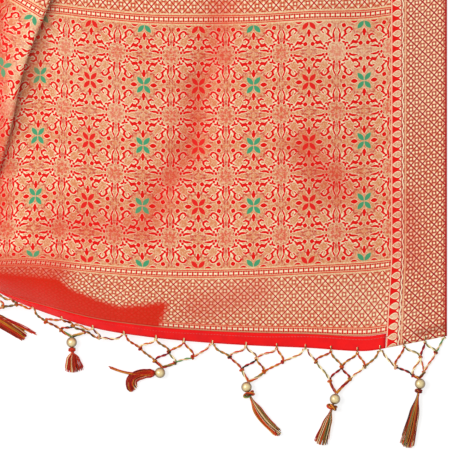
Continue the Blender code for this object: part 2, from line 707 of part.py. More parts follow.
def build_net(number):
    """One knotted net of the fringe, from its four anchors to its bead."""
    ends, points = fringe_group(number)
    nodes = ends + [points[name] for name in ("right", "middle", "left", "low_right", "low_left")]
    nodes.append(bead_top(points))
    swell = [ANCHOR_SWELL] * len(ends) + [KNOT_RADIUS] * 5 + [COLLAR_KNOT_RADIUS]
    vertices, faces = knotted_mesh(nodes, NET_LINKS, swell)
    return make_object(f"net_{number + 1:02d}", vertices, faces, "fringe_thread")


def build_bead(number):
    """One gilt bead, resting on the table."""
    centre = fringe_group(number)[1]["bead"]
    shape = bmesh.new()
    bmesh.ops.create_uvsphere(shape, u_segments=10, v_segments=6, radius=BEAD_RADIUS * MILLIMETRE)
    name = f"bead_{number + 1:02d}"
    mesh = bpy.data.meshes.new(name)
    shape.to_mesh(mesh)
    shape.free()
    mesh.materials.append(material("gilt_bead"))
    mesh.shade_smooth()
    made = bpy.data.objects.new(name, mesh)
    made.location = centre * MILLIMETRE
    bpy.context.scene.collection.objects.link(made)
    return made


def tassel_axis(points, reach):
    """A point and direction on a tassel's middle line, reach being 0 at the bead and 1 at its end."""
    bead, bend, end = points["bead"], points["bend"], points["end"]
    first, second = bead.lerp(bend, reach), bend.lerp(end, reach)
    place = first.lerp(second, reach)
    direction = second - first
    direction.z = 0.0
    return Vector((place.x, place.y, 0.0)), direction.normalized()


def build_tassel(number):
    """One tassel: a wound head and strands that part from it and lie on the table."""
    points = fringe_group(number)[1]
    length = (points["bend"] - points["bead"]).length + (points["end"] - points["bend"]).length

    def ring_point(distance, sideways, upward, height):
        place, direction = tassel_axis(points, distance / length)
        side = Vector((-direction.y, direction.x, 0.0))
        return place + side * sideways + Vector((0, 0, height + upward))

    vertices, faces = [], []
    sides = HEAD_SIDES
    head_height = BEAD_RADIUS - HEAD_DROP
    for distance, radius in HEAD_RINGS:
        for step in range(sides):
            angle = 2 * math.pi * step / sides
            vertices.append(ring_point(BEAD_RADIUS + distance, radius * math.cos(angle), radius * math.sin(angle),
                                       head_height))
    rings = len(HEAD_RINGS)
    for ring in range(rings - 1):
        for step in range(sides):
            first, second = ring * sides + step, ring * sides + (step + 1) % sides
            faces.append([first, second, second + sides, first + sides])
    faces.append(list(range(sides)))

    outer = [(rings - 1) * sides + step for step in range(sides)]
    inner = []
    distance, radius = HEAD_RINGS[-1]
    for step in range(INNER_SIDES):
        angle = math.pi * step / 2
        inner.append(len(vertices))
        vertices.append(ring_point(BEAD_RADIUS + distance, radius * INNER_SHARE * math.cos(angle),
                                   radius * INNER_SHARE * math.sin(angle), head_height))
    root_flat = {}
    for step in range(sides):
        angle = 2 * math.pi * step / sides
        root_flat[outer[step]] = (math.cos(angle), math.sin(angle))
    for step in range(INNER_SIDES):
        angle = math.pi * step / 2
        root_flat[inner[step]] = (INNER_SHARE * math.cos(angle), INNER_SHARE * math.sin(angle))
    cells = [tuple(inner)]
    for step in range(INNER_SIDES):
        cells.append((outer[2 * step], outer[2 * step + 1], inner[step]))
        cells.append((outer[2 * step + 1], outer[(2 * step + 2) % sides], inner[(step + 1) % INNER_SIDES], inner[step]))

    start = BEAD_RADIUS + distance
    for strand, cell in enumerate(cells):
        ring = list(cell)
        middle_x = sum(root_flat[corner][0] for corner in cell) / len(cell)
        middle_y = sum(root_flat[corner][1] for corner in cell) / len(cell)
        strand_length = length - start - STRAND_SHORTER * ((strand * 5) % 4)
        for step in range(1, STRAND_STEPS + 1):
            part = step / STRAND_STEPS
            spread = radius + (TASSEL_HALF_WIDTH - radius) * part
            rise = radius + (TASSEL_HALF_HEIGHT - radius) * part
            thin = STRAND_THICKNESS - STRAND_THINNING * part
            height = head_height + (TASSEL_HALF_HEIGHT + FLOOR_CLEARANCE + TASSEL_LIFT - head_height) * part
            following = []
            for corner in cell:
                own_x, own_y = root_flat[corner]
                sideways = middle_x * spread + (own_x - middle_x) * radius * thin
                upward = middle_y * rise + (own_y - middle_y) * radius * thin
                following.append(len(vertices))
                vertices.append(ring_point(start + strand_length * part, sideways, upward, height))
            for index in range(len(cell)):
                after = (index + 1) % len(cell)
                faces.append([ring[index], ring[after], following[after], following[index]])
            ring = following
        faces.append(list(reversed(ring)))
    return make_object(f"tassel_{number + 1:02d}", vertices, faces, "fringe_thread")


def centre_on_outline():
    """Move everything so that the middle of the outline stands on the origin."""
    bpy.context.view_layer.update()
    graph = bpy.context.evaluated_depsgraph_get()
    corners = []
    for item in bpy.data.objects:
        seen = item.evaluated_get(graph)
        corners += [seen.matrix_world @ vertex.co for vertex in seen.data.vertices]
    middle_x = (min(c.x for c in corners) + max(c.x for c in corners)) / 2
    middle_y = (min(c.y for c in corners) + max(c.y for c in corners)) / 2
    lowest = min(c.z for c in corners)
    for item in bpy.data.objects:
        item.location -= Vector((middle_x, middle_y, lowest))


def main():
    """Clear the scene and build the saree."""
    for item in list(bpy.data.objects):
        bpy.data.objects.remove(item, do_unlink=True)
    build_pallu()
    build_body_stretch()
    build_hem()
    build_folded_body()
    for number in range(FRINGE_GROUPS):
        build_net(number)
        build_bead(number)
        build_tassel(number)
    centre_on_outline()


main()
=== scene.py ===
import math

import bmesh
import bpy
import numpy as np
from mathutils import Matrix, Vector


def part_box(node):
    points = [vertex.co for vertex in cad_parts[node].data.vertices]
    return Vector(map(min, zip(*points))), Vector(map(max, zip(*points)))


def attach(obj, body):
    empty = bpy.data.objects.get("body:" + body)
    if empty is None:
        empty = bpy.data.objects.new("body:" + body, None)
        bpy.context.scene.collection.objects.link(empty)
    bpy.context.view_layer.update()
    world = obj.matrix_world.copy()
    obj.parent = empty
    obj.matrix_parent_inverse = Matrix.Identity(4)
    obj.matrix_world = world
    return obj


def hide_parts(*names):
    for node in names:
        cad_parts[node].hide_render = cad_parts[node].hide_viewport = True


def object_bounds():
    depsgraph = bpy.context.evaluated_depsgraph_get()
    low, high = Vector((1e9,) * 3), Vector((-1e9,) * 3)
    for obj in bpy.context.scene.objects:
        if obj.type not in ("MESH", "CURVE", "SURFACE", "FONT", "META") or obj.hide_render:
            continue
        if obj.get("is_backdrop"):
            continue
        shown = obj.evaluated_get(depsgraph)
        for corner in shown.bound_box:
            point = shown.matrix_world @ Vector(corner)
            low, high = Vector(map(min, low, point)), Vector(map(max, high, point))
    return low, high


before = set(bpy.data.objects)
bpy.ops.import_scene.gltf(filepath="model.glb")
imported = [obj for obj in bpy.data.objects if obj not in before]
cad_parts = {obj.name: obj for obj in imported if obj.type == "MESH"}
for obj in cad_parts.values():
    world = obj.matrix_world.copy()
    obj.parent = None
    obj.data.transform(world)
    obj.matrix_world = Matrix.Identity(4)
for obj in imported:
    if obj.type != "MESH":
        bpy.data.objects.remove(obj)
cad_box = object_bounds()

# A brocade saree laid on a table: woven cloth, turned hem, folded length and knotted fringe.
# Lengths are millimetres until a mesh is made. On the cloth, u runs across it from the right
# selvedge and v runs up it from the hem. A plan place is a complex number, x + 1j * y, measured
# from the middle of the view.
MILLIMETRE = 0.001

# The cloth as it was woven and cut
CLOTH_WIDTH = 1124.0
BORDER_WIDTH = 58.0
HEM_DEPTH = 15.0
PALLU_LENGTH = 415.0
CLOTH_WALL = 1.2
HEM_TOP = 1.1
SEAM_GAP = 0.3

# How the cloth lies, the same as in the part
BROW_V = 91.0
SHOULDER_V = 150.0
BACK_V = 545.0
RISE_V = 105.0
LAY_COLUMNS = ("u", "hem_x", "hem_y", "brow_x", "brow_y", "shoulder_x", "shoulder_y", "heading", "hem_height")
LAY = (
    (0.0, 228.1, -114.1, 228.1, -25.7, 228.1, 33.3, 0.0, 0.6),
    (58.0, 170.6, -125.4, 170.6, -33.9, 170.6, 25.1, 0.0, 0.6),
    (86.0, 142.8, -129.5, 142.8, -37.0, 142.8, 21.7, 0.0, 0.6),
    (142.0, 85.3, -125.9, 84.8, -40.1, 86.0, 20.2, 0.0, 0.8),
    (198.0, 28.8, -123.3, 29.0, -43.2, 29.2, 16.7, 0.0, 1.5),
    (254.0, -25.7, -119.7, -27.7, -44.6, -27.4, 15.8, 0.0, 5.0),
    (310.0, -77.1, -114.5, -84.5, -43.2, -85.0, 16.7, 0.7, 12.0),
    (366.0, -128.4, -106.3, -141.2, -38.6, -141.0, 21.7, 1.3, 17.0),
    (422.0, -177.8, -91.4, -196.3, -32.9, -194.3, 26.8, 2.3, 22.0),
    (478.0, -223.0, -73.0, -249.0, -32.0, -245.0, 24.0, 3.0, 25.0),
    (534.0, -268.0, -46.0, -297.0, -3.0, -293.0, 52.8, 31.0, 27.0),
    (646.0, -366.0, 9.0, -393.0, 55.0, -389.0, 110.5, 31.0, 22.0),
    (850.0, -548.0, 104.0, -567.5, 160.0, -563.8, 215.6, 31.0, 8.0),
    (1124.0, -792.0, 236.0, -802.0, 300.0, -798.6, 356.7, 31.0, 0.6),
)
MOUND_FROM_RIGHT = (
    (-400.0, 91.0), (-305.0, 90.0), (-252.0, 88.0), (-196.0, 82.0), (-141.0, 72.0), (-84.0, 60.0),
    (-28.0, 48.0), (29.0, 38.0), (85.0, 26.0), (143.0, 9.0), (171.0, 3.0), (228.0, 0.6), (260.0, 0.6),
)
MOUND_FROM_LEFT = (
    (-20.0, 0.6), (0.0, 0.6), (30.0, 8.0), (80.0, 31.0), (140.0, 56.0), (220.0, 75.0),
    (320.0, 86.0), (420.0, 90.0), (520.0, 91.0), (700.0, 91.0),
)
BACK_DROOP = 0.12
BACK_DROOP_V = 430.0
BACK_LEAST_HEIGHT = 3.4

# The pleat that turns the left half of the cloth
PLEAT_U = 478.0
PLEAT_LEFT_HEADING = 31.0
PLEAT_RIGHT_HEADING = 3.0
PLEAT_LEAST = 6.0
PLEAT_OPENS = 40.0
PLEAT_BOW = 6.0
PLEAT_BOW_V = 288.0
PLEAT_BOW_REACH = 85.0
LAYER_STEP = 2.4
TOP_LAYER_EASE = 38.0
LAYER_EASE_STARTS = 2.0
FOLD_LIFT = 4.5
FOLD_LIFT_EASE = 34.0

# Where the pleat's columns lie, as shares of the way through it from its right side to its left
UNDER_PLEAT = (0.15, 0.3, 0.45)
UNDER_PLEAT_FOLDED = 1.7
INNER_TURN_SHARE = 0.47
MIDDLE_LAYER = (0.6, 0.7, 0.8)
MIDDLE_LAYER_STARTS = 0.53
MIDDLE_LAYER_SHARE = 0.35
OUTER_TURN_SHARE = 0.9
TURN_SHARE = 0.06
OVER_PLEAT_REACH = 1.6

# The back edge, where the plain cloth turns under
ROLL_RADIUS = 4.5
ROLL_LEAST_RADIUS = 1.3
ROLL_SHARE = 0.25
TUCK = 8.0

# The folded rest of the saree
FOLD_RIGHT_U = 74.0
FOLD_LEFT_U = 1052.0
FOLD_GAP = 1.9
STEEP_EXTRA = 1.5
FOLD_BACK_STEP = 16.0
FOLD_STEP_SHARE = 0.62
FOLD_LEAST_HEIGHT = 1.2
FOLD_LAYERS = 8
FOLD_BULGE = 7.0
FOLD_FRONT_V = 38.0
FOLD_TOP_V = 470.0
FOLD_STEP_V = 478.0
FOLD_BACK_SHORT = 6.0
FOLD_BACK_EDGE = 2.0
FOLD_WAY_REACH = 10.0
STEEP_HEIGHT = 40.0
LAYER_EVEN = 0.75
LAYER_UNEVEN = 0.25
LAYER_BEAT = 2.1
COLUMN_BEAT = 0.7
BEAT_COLUMNS = 26.0

# How finely the pieces are made here: cells across and along the cloth
RIGHT_CELLS = 62
NEAR_PLEAT_CELLS = 34
TURN_CELLS = 8
OVER_PLEAT_CELLS = 22
LEFT_CELLS = 84
BORDER_CELLS = 16
NEAR_PLEAT_U = 310.0
ROW_STEP = 3.6
HEM_ROWS = 5
HEM_BAND_ROWS = 7
BODY_ROWS = 28
ROLL_ROWS = 9
TUCK_ROWS = 3
FOLD_POINTS_ACROSS = 151
FOLD_TOP_LINES = 60

# View and light
VIEW_WIDTH = 0.4624
CAMERA_HEIGHT = 20.0
CAMERA_REACH = 100.0
SENSOR_WIDTH = 36.0
SKY_STRENGTH = 0.54
LAMP_SIZE = 1.4
LAMP_POWER = 50.0
LAMP_PLACE = (-1.5, 0.3, 2.2)
TABLE_HALF = 4.0
TABLE_LEVEL = -0.0002
TABLE_GREY = 0.3
TABLE_GLOW = 0.76
MARKER_BEAD = "bead_03"
MARKER_PLACE = (22.1, -166.5, 5.5)


def find_shift():
    """How far the part was moved when it was centred on its outline, in metres."""
    low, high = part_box(MARKER_BEAD)
    return [(a + b) / 2 - place * MILLIMETRE for a, b, place in zip(low, high, MARKER_PLACE)]


SHIFT = np.array(find_shift())


def smooth(value):
    """Ease from 0 to 1."""
    value = np.clip(value, 0.0, 1.0)
    return value * value * (3.0 - 2.0 * value)


def unit_way(way):
    """Plan directions of length 1, each a complex number."""
    return way / np.maximum(np.abs(way), 1e-9)


def unit_vector(way):
    """A vector made one long."""
    return way / np.linalg.norm(way)


def hermite(start, end, start_slope, end_slope, span, fraction):
    """A cubic between two values that leaves and arrives at given slopes."""
    square, cube = fraction ** 2, fraction ** 3
    return ((2 * cube - 3 * square + 1) * start + (cube - 2 * square + fraction) * span * start_slope
            + (3 * square - 2 * cube) * end + (cube - square) * span * end_slope)


def along(knots, values, place):
    """A smooth curve through values at knots, read at places."""
    knots, values = np.asarray(knots), np.asarray(values)
    slopes = np.empty_like(values)
    slopes[1:-1] = (values[2:] - values[:-2]) / (knots[2:] - knots[:-2])
    slopes[0] = (values[1] - values[0]) / (knots[1] - knots[0])
    slopes[-1] = (values[-1] - values[-2]) / (knots[-1] - knots[-2])
    place = np.clip(place, knots[0], knots[-1])
    step = np.clip(np.searchsorted(knots, place) - 1, 0, len(knots) - 2)
    span = knots[step + 1] - knots[step]
    return hermite(values[step], values[step + 1], slopes[step], slopes[step + 1], span,
                   (place - knots[step]) / span)


LAY_TABLE = {name: np.array([row[index] for row in LAY]) for index, name in enumerate(LAY_COLUMNS)}


def lay(column, u):
    """One column of the lay table, read at u."""
    return along(LAY_TABLE["u"], LAY_TABLE[column], u)


def lay_point(row_name, u):
    """The plan place of a named row of the cloth at u."""
    places = LAY_TABLE[row_name + "_x"] + 1j * LAY_TABLE[row_name + "_y"]
    return along(LAY_TABLE["u"], places, u)


def heading_way(degrees):
    """The plan direction that the cloth's length takes at a heading east of +Y."""
    return 1j * np.exp(-1j * np.radians(degrees))


def share_along(place, way):
    """How far a plan place reaches along a plan direction."""
    return (place * np.conj(way)).real


# How far the woven columns lean along the hem, away from where the lay table puts them: u and the lean
LEAN = (
    (0.0, 0.0), (58.0, 5.6), (86.0, 4.0), (142.0, 1.0), (198.0, 0.0), (254.0, 7.0), (310.0, 15.0),
    (366.0, 23.0), (422.0, 29.0), (478.0, 35.0), (534.0, 37.0), (646.0, 45.0), (850.0, 35.0),
    (1066.0, 8.0), (1124.0, 0.0),
)


def leaned(u, v):
    """Where a woven column lies between the hem and the brow, as a u of the lay table."""
    table = np.array(LEAN)
    return u + along(table[:, 0], table[:, 1], u) * np.maximum(0.0, 1.0 - v / BROW_V)


def lower_plan(u, v):
    """The plan place of a point between the hem and the shoulder of the mound."""
    u = leaned(u, v)
    hem, brow, shoulder = (lay_point(name, u) for name in ("hem", "brow", "shoulder"))
    slope_low = (brow - hem) / BROW_V
    slope_high = (shoulder - brow) / (SHOULDER_V - BROW_V)
    slope_brow = (slope_low + slope_high) / 2
    slope_hem = slope_low * 1.5 - slope_brow * 0.5
    slope_shoulder = heading_way(lay("heading", u))
    below = hermite(hem, brow, slope_hem, slope_brow, BROW_V, v / BROW_V)
    span = SHOULDER_V - BROW_V
    above = hermite(brow, shoulder, slope_brow, slope_shoulder, span, (v - BROW_V) / span)
    return np.where(v <= BROW_V, below, above)


def right_plan(u, v):
    """The plan place of a point on the right half, also under the pleat."""
    heading = lay("heading", np.minimum(u, PLEAT_U))
    return lower_plan(u, np.minimum(v, SHOULDER_V)) + heading_way(heading) * np.maximum(v - SHOULDER_V, 0.0)


def left_plan(u, v):
    """The plan place of a point on the turned left half."""
    way = heading_way(PLEAT_LEFT_HEADING)
    return lower_plan(u, np.minimum(v, SHOULDER_V)) + way * np.maximum(v - SHOULDER_V, 0.0)


PLEAT_FOOT = lay_point("shoulder", PLEAT_U)
LEFT_ACROSS = heading_way(PLEAT_LEFT_HEADING) * 1j
PLEAT_OPENING = math.tan(math.radians((PLEAT_LEFT_HEADING - PLEAT_RIGHT_HEADING) / 2))


def mound_height(plan):
    """Height of the top of the heap under a plan place, before the hem's slope."""
    from_left = CLOTH_WIDTH - PLEAT_U - share_along(plan - PLEAT_FOOT, LEFT_ACROSS)
    right_table, left_table = np.array(MOUND_FROM_RIGHT), np.array(MOUND_FROM_LEFT)
    return np.minimum(along(right_table[:, 0], right_table[:, 1], plan.real),
                      along(left_table[:, 0], left_table[:, 1], from_left))


def cloth_height(u, v, plan):
    """Height of the middle of the lowest cloth layer."""
    offset = plan - PLEAT_FOOT
    reach = np.minimum(share_along(offset, heading_way(PLEAT_RIGHT_HEADING)),
                       share_along(offset, heading_way(PLEAT_LEFT_HEADING)))
    near_back = smooth((SHOULDER_V + reach - BACK_DROOP_V) / (BACK_V - BACK_DROOP_V))
    top = np.maximum(mound_height(plan) * (1.0 - BACK_DROOP * near_back), BACK_LEAST_HEIGHT * near_back)
    low = lay("hem_height", leaned(u, v))
    return low + (top - low) * np.sin(math.pi / 2 * np.minimum(v / RISE_V, 1.0))


# Soft ridges and troughs of the cloth: from x and y to x and y in plan, half the width and the height
CREASES = (
    (-5.0, 228.0, -22.0, 150.0, 17.0, -2.0),
    (-22.0, 150.0, -34.0, 82.0, 16.0, -2.2),
    (-34.0, 82.0, -70.0, 30.0, 17.0, -1.8),
    (-70.0, 30.0, -170.0, -4.0, 15.0, -1.6),
    (82.0, 70.0, 110.0, 34.0, 16.0, -1.4),
    (96.0, 210.0, 150.0, 175.0, 24.0, 1.6),
    (-165.0, 160.0, -95.0, 130.0, 26.0, 1.8),
    (120.0, -75.0, 178.0, -92.0, 20.0, 1.0),
    (-20.0, -66.0, 120.0, -82.0, 16.0, 1.0),
    (-120.0, -60.0, -110.0, -100.0, 15.0, -1.6),
    (-180.0, -50.0, -172.0, -88.0, 14.0, 1.4),
    (-300.0, 160.0, -262.0, 260.0, 20.0, -1.8),
    (-380.0, 130.0, -330.0, 250.0, 24.0, 1.8),
    (-450.0, 200.0, -372.0, 330.0, 22.0, -2.0),
    (-560.0, 250.0, -470.0, 372.0, 26.0, 1.7),
    (-640.0, 300.0, -560.0, 430.0, 20.0, -1.8),
    (201.4, -46.0, 202.0, -70.0, 2.2, -1.0),
    (204.5, -64.7, 228.0, -86.0, 2.4, -1.1),
    (176.7, -111.0, 231.0, -99.0, 1.8, -0.8),
    (190.0, 50.0, 208.0, -20.0, 9.0, -1.0),
)


# Creases fade where the cloth lies lower than this
CREASE_FADE = 12.0


def soft_marks(marks, plan):
    """For each mark, its last column spread softly over plan places on either side of its line."""
    for from_x, from_y, to_x, to_y, half_width, amount in marks:
        start, reach = complex(from_x, from_y), complex(to_x - from_x, to_y - from_y)
        part = np.clip(share_along(plan - start, reach) / abs(reach) ** 2, 0.0, 1.0)
        away = np.abs(plan - start - reach * part) / half_width
        yield amount * np.exp(-away ** 2)


def crease_height(plan, height):
    """How far the soft creases lift or sink cloth that lies at a height, at plan places."""
    return sum(soft_marks(CREASES, plan), np.zeros(np.shape(plan))) * smooth(height / CREASE_FADE)


# Painted shade and painted highlight where the gold thread turns from the light or to it: from x and y
# to x and y in plan, half the width and the strength
SHEEN_SHADE_PATCHES = (
    (-3.0, 236.0, -10.0, 169.0, 17.0, 0.85),
    (-10.0, 169.0, -28.0, 144.0, 17.0, 0.8),
    (-28.0, 144.0, -34.0, 82.0, 17.0, 0.9),
    (-34.0, 82.0, -57.0, 46.0, 18.0, 0.9),
    (-57.0, 46.0, -82.0, 0.0, 18.0, 0.9),
    (-82.0, 0.0, -176.0, 0.0, 16.0, 0.8),
    (82.0, 78.0, 113.0, 41.0, 20.0, 0.9),
    (-30.0, -86.0, 34.0, -68.0, 15.0, 0.75),
    (186.0, 25.0, 192.0, -36.0, 13.0, 0.6),
    (-236.0, 225.0, -236.0, 0.0, 15.0, 1.3),
    (-172.0, -48.0, -300.0, -38.0, 17.0, 1.3),
    (-400.0, 190.0, -330.0, 330.0, 24.0, 0.8),
    (-560.0, 260.0, -460.0, 420.0, 24.0, 0.8),
    (-700.0, 330.0, -640.0, 450.0, 24.0, 0.7),
)
SHEEN_HIGHLIGHT_PATCHES = (
    (98.0, 200.0, 149.0, 168.0, 26.0, 0.6),
    (-170.0, 180.0, -98.0, 118.0, 28.0, 0.3),
    (128.0, -74.0, 182.0, -98.0, 20.0, 0.8),
    (-5.0, -66.0, 140.0, -78.0, 20.0, 0.35),
    (206.0, 222.0, 206.0, 130.0, 22.0, 0.6),
    (-193.0, 212.0, -214.0, 158.0, 7.0, 0.8),
    (-214.0, 158.0, -221.0, 118.0, 5.0, 0.6),
)

# The painted shade that the raised fold throws on the cloth under it; the last row is painted shade along a
# crease near the lower right border
SHADE_PATCHES = (
    (-176.0, 238.0, -193.0, 180.0, 9.0, 1.0),
    (-193.0, 180.0, -206.0, 134.0, 10.0, 1.0),
    (-206.0, 134.0, -213.0, 100.0, 9.0, 0.85),
    (-213.0, 100.0, -216.0, 60.0, 6.0, 0.4),
    (-176.0, 238.0, -150.0, 320.0, 9.0, 1.0),
    (198.0, -111.8, 231.0, -103.2, 3.2, 1.0),
)

# The front of the heap, where the gold thread catches no light: the upper edge of the patch
UNLIT_EDGE = (
    (-420.0, 40.0), (-300.0, -20.0), (-231.0, -49.3), (-173.0, -54.5), (-158.8, -65.8), (-131.0, -77.0),
    (-109.0, -84.0), (-86.0, -82.8), (-64.0, -79.5), (-40.0, -84.0),
)
UNLIT_EDGE_STARTS = 4.0
UNLIT_EDGE_EASE = 6.0
UNLIT_RIGHT_X = -57.0
UNLIT_RIGHT_STARTS = 3.0
UNLIT_RIGHT_SLANT = 0.35
UNLIT_RIGHT_EASE = 7.0
UNLIT_LEFT_X = -420.0
UNLIT_LEFT_EASE = 80.0


def soft_patches(patches, plan):
    """The strongest of several soft patches at plan places."""
    strongest = np.zeros(np.shape(plan))
    for strength in soft_marks(patches, plan):
        strongest = np.maximum(strongest, strength)
    return strongest


def unlit_share(plan):
    """How far the gold thread is out of the light, from 0 to 1."""
    edge = np.array(UNLIT_EDGE)
    below = np.interp(plan.real, edge[:, 0], edge[:, 1]) - plan.imag
    from_right = UNLIT_RIGHT_X + UNLIT_RIGHT_STARTS - plan.real - UNLIT_RIGHT_SLANT * below
    inside = smooth((below + UNLIT_EDGE_STARTS) / UNLIT_EDGE_EASE) * smooth(from_right / UNLIT_RIGHT_EASE)
    return inside * smooth((plan.real - UNLIT_LEFT_X) / UNLIT_LEFT_EASE)


def shade_share(plan, uv):
    """How deep in the fold's shade plan places are: only the cloth to the right of the pleat is."""
    if uv is None:
        return np.zeros(plan.shape)
    return soft_patches(SHADE_PATCHES, plan) * (np.asarray(uv)[:, 0] < PLEAT_U)


def pleat_half(v):
    """Half the width of cloth taken up on each side of the pleat's middle."""
    return np.maximum(PLEAT_LEAST, (v - SHOULDER_V) * PLEAT_OPENING)


def pleat_bow(v):
    """How far the pleat's outer fold bows to the left of a straight line."""
    return PLEAT_BOW * smooth(1.0 - np.abs(v - PLEAT_BOW_V) / PLEAT_BOW_REACH)


def pleat_fold(v):
    """How far the pleat is folded flat at v, from 0 to 1."""
    return smooth((v - SHOULDER_V) / PLEAT_OPENS)


def placed(plan_at, u, v, layer):
    """Cloth points from their plan function, their places and their layer's height above the lowest."""
    straight = np.minimum(v, BACK_V)
    base = cloth_height(u, straight, plan_at(straight))
    turn = np.clip((v - BACK_V) / ROLL_RADIUS, 0.0, math.pi)
    tuck = np.maximum(0.0, v - BACK_V - math.pi * ROLL_RADIUS)
    radius = np.clip(base * ROLL_SHARE, ROLL_LEAST_RADIUS, ROLL_RADIUS)
    plan = plan_at(straight + (radius + layer) * np.sin(turn) - tuck)
    height = base - radius + (radius + layer) * np.cos(turn) + crease_height(plan, base)
    return np.stack([plan.real, plan.imag, height], axis=-1)


def top_layer_height(plan, v):
    """How far the layer over the pleat is lifted, easing down past the inner fold."""
    past = share_along(plan - PLEAT_FOOT, heading_way(PLEAT_RIGHT_HEADING) * 1j)
    return 2 * LAYER_STEP * pleat_fold(v) * (1.0 - smooth((past - LAYER_EASE_STARTS) / TOP_LAYER_EASE))


def cloth_grid(v):
    """Middle points and true u of the cloth, rows along v, from the right selvedge to the left."""
    half, fold = pleat_half(v), pleat_fold(v)
    start, end = PLEAT_U - half, PLEAT_U + half + pleat_bow(v)
    straight = np.minimum(v, BACK_V)
    columns = []

    def add_right(u):
        """A column of the right half."""
        u = np.broadcast_to(u, v.shape)
        columns.append((placed(lambda r: right_plan(u, r), u, v, 0.0), u))

    def add_left(u):
        """A column of the left half, over the pleat."""
        u = np.broadcast_to(u, v.shape)
        layer = top_layer_height(left_plan(u, straight), straight)
        layer = layer + FOLD_LIFT * fold * (1.0 - smooth((u - end) / FOLD_LIFT_EASE))
        columns.append((placed(lambda r: left_plan(u, r), u, v, layer), u))

    def add_pleat(part, folded_plan, layer, folded_u):
        """A column of the pleat, part of the way from lying open to lying folded."""
        def plan_at(reach):
            low, high = right_plan(start, reach), left_plan(end, reach)
            opened = low + (high - low) * part
            return opened + (folded_plan(reach) - opened) * fold
        u = start + 2 * half * part
        columns.append((placed(plan_at, PLEAT_U, v, layer * fold), u + (folded_u - u) * fold))

    def inner_plan(reach):
        """The pleat's inner fold in plan."""
        return right_plan(PLEAT_U, reach)

    def outer_plan(reach):
        """The pleat's outer fold in plan."""
        return left_plan(end, reach)

    def add_turn(first_part, centre, other, base_height, radius, near_u):
        """The rounded edge of one fold of the pleat."""
        for step in range(TURN_CELLS + 1):
            angle = math.pi * step / TURN_CELLS
            reach_out = radius * math.sin(angle)
            rise = base_height + radius * (1 - math.cos(angle))
            add_pleat(first_part + TURN_SHARE * step / TURN_CELLS,
                      lambda r, s=reach_out: centre(r) + unit_way(centre(r) - other(r)) * s,
                      rise, near_u + radius * (angle - math.pi))

    border = BORDER_WIDTH * np.arange(BORDER_CELLS + 1) / BORDER_CELLS
    for u in border:
        add_right(u)
    for cell in range(1, RIGHT_CELLS + 1):
        add_right(BORDER_WIDTH + (NEAR_PLEAT_U - BORDER_WIDTH) * cell / RIGHT_CELLS)
    for cell in range(1, NEAR_PLEAT_CELLS + 1):
        add_right(NEAR_PLEAT_U + (start - NEAR_PLEAT_U) * cell / NEAR_PLEAT_CELLS)
    for part in UNDER_PLEAT:
        folded_u = start + half * part * UNDER_PLEAT_FOLDED
        add_pleat(part, lambda r, u=folded_u: right_plan(u, r), 0.0, folded_u)
    add_turn(INNER_TURN_SHARE, inner_plan, outer_plan, 0.0, LAYER_STEP / 2, PLEAT_U)
    for part in MIDDLE_LAYER:
        share = (part - MIDDLE_LAYER_STARTS) / MIDDLE_LAYER_SHARE
        add_pleat(part, lambda r, s=share: inner_plan(r) + (outer_plan(r) - inner_plan(r)) * s,
                  LAYER_STEP, PLEAT_U + half * share)
    add_turn(OUTER_TURN_SHARE, outer_plan, inner_plan, LAYER_STEP, (LAYER_STEP + FOLD_LIFT) / 2, end)
    near = end + half * OVER_PLEAT_REACH + TOP_LAYER_EASE
    left_end = CLOTH_WIDTH - BORDER_WIDTH
    for cell in range(1, OVER_PLEAT_CELLS + 1):
        add_left(end + (near - end) * cell / OVER_PLEAT_CELLS)
    for cell in range(1, LEFT_CELLS + 1):
        add_left(near + (left_end - near) * cell / LEFT_CELLS)
    for u in border[1:]:
        add_left(left_end + u)
    points = np.stack([column[0] for column in columns], axis=1)
    true_u = np.stack([column[1] for column in columns], axis=1)
    return points, true_u


def grid_normals(points):
    """Unit normals of a grid of points, from their neighbours."""
    across = np.empty_like(points)
    up = np.empty_like(points)
    across[:, 1:-1] = points[:, 2:] - points[:, :-2]
    across[:, 0], across[:, -1] = points[:, 1] - points[:, 0], points[:, -1] - points[:, -2]
    up[1:-1] = points[2:] - points[:-2]
    up[0], up[-1] = points[1] - points[0], points[-1] - points[-2]
    normals = np.cross(up, across)
    return normals / np.linalg.norm(normals, axis=-1, keepdims=True)


def new_piece(name, vertices, faces, uv=None, recalculate=False):
    """An object from points in millimetres of the view, with a UV map in metres of cloth."""
    mesh = bpy.data.meshes.new(name)
    places = np.asarray(vertices, dtype=float) * MILLIMETRE + SHIFT
    mesh.from_pydata(places.tolist(), [], [list(face) for face in faces])
    if uv is not None:
        corner_vertex = np.empty(len(mesh.loops), dtype=np.int32)
        mesh.loops.foreach_get("vertex_index", corner_vertex)
        layer = mesh.uv_layers.new(name="cloth")
        layer.data.foreach_set("uv", (np.asarray(uv)[corner_vertex] * MILLIMETRE).ravel())
    if recalculate:
        shape = bmesh.new()
        shape.from_mesh(mesh)
        bmesh.ops.recalc_face_normals(shape, faces=shape.faces)
        shape.to_mesh(mesh)
        shape.free()
    plan = np.asarray(vertices)[:, 0] + 1j * np.asarray(vertices)[:, 1]
    # Painted shade and painted highlight of the gold thread, the painted unlit patch and the painted shade
    # beside the fold, kept on the mesh
    for share, values in (("painted_shade", soft_patches(SHEEN_SHADE_PATCHES, plan)),
                          ("painted_highlight", soft_patches(SHEEN_HIGHLIGHT_PATCHES, plan)),
                          ("unlit", unlit_share(plan)), ("shade", shade_share(plan, uv))):
        mesh.attributes.new(share, "FLOAT", "POINT").data.foreach_set("value", values)
    mesh.shade_smooth()
    made = bpy.data.objects.new(name, mesh)
    bpy.context.scene.collection.objects.link(made)
    return made


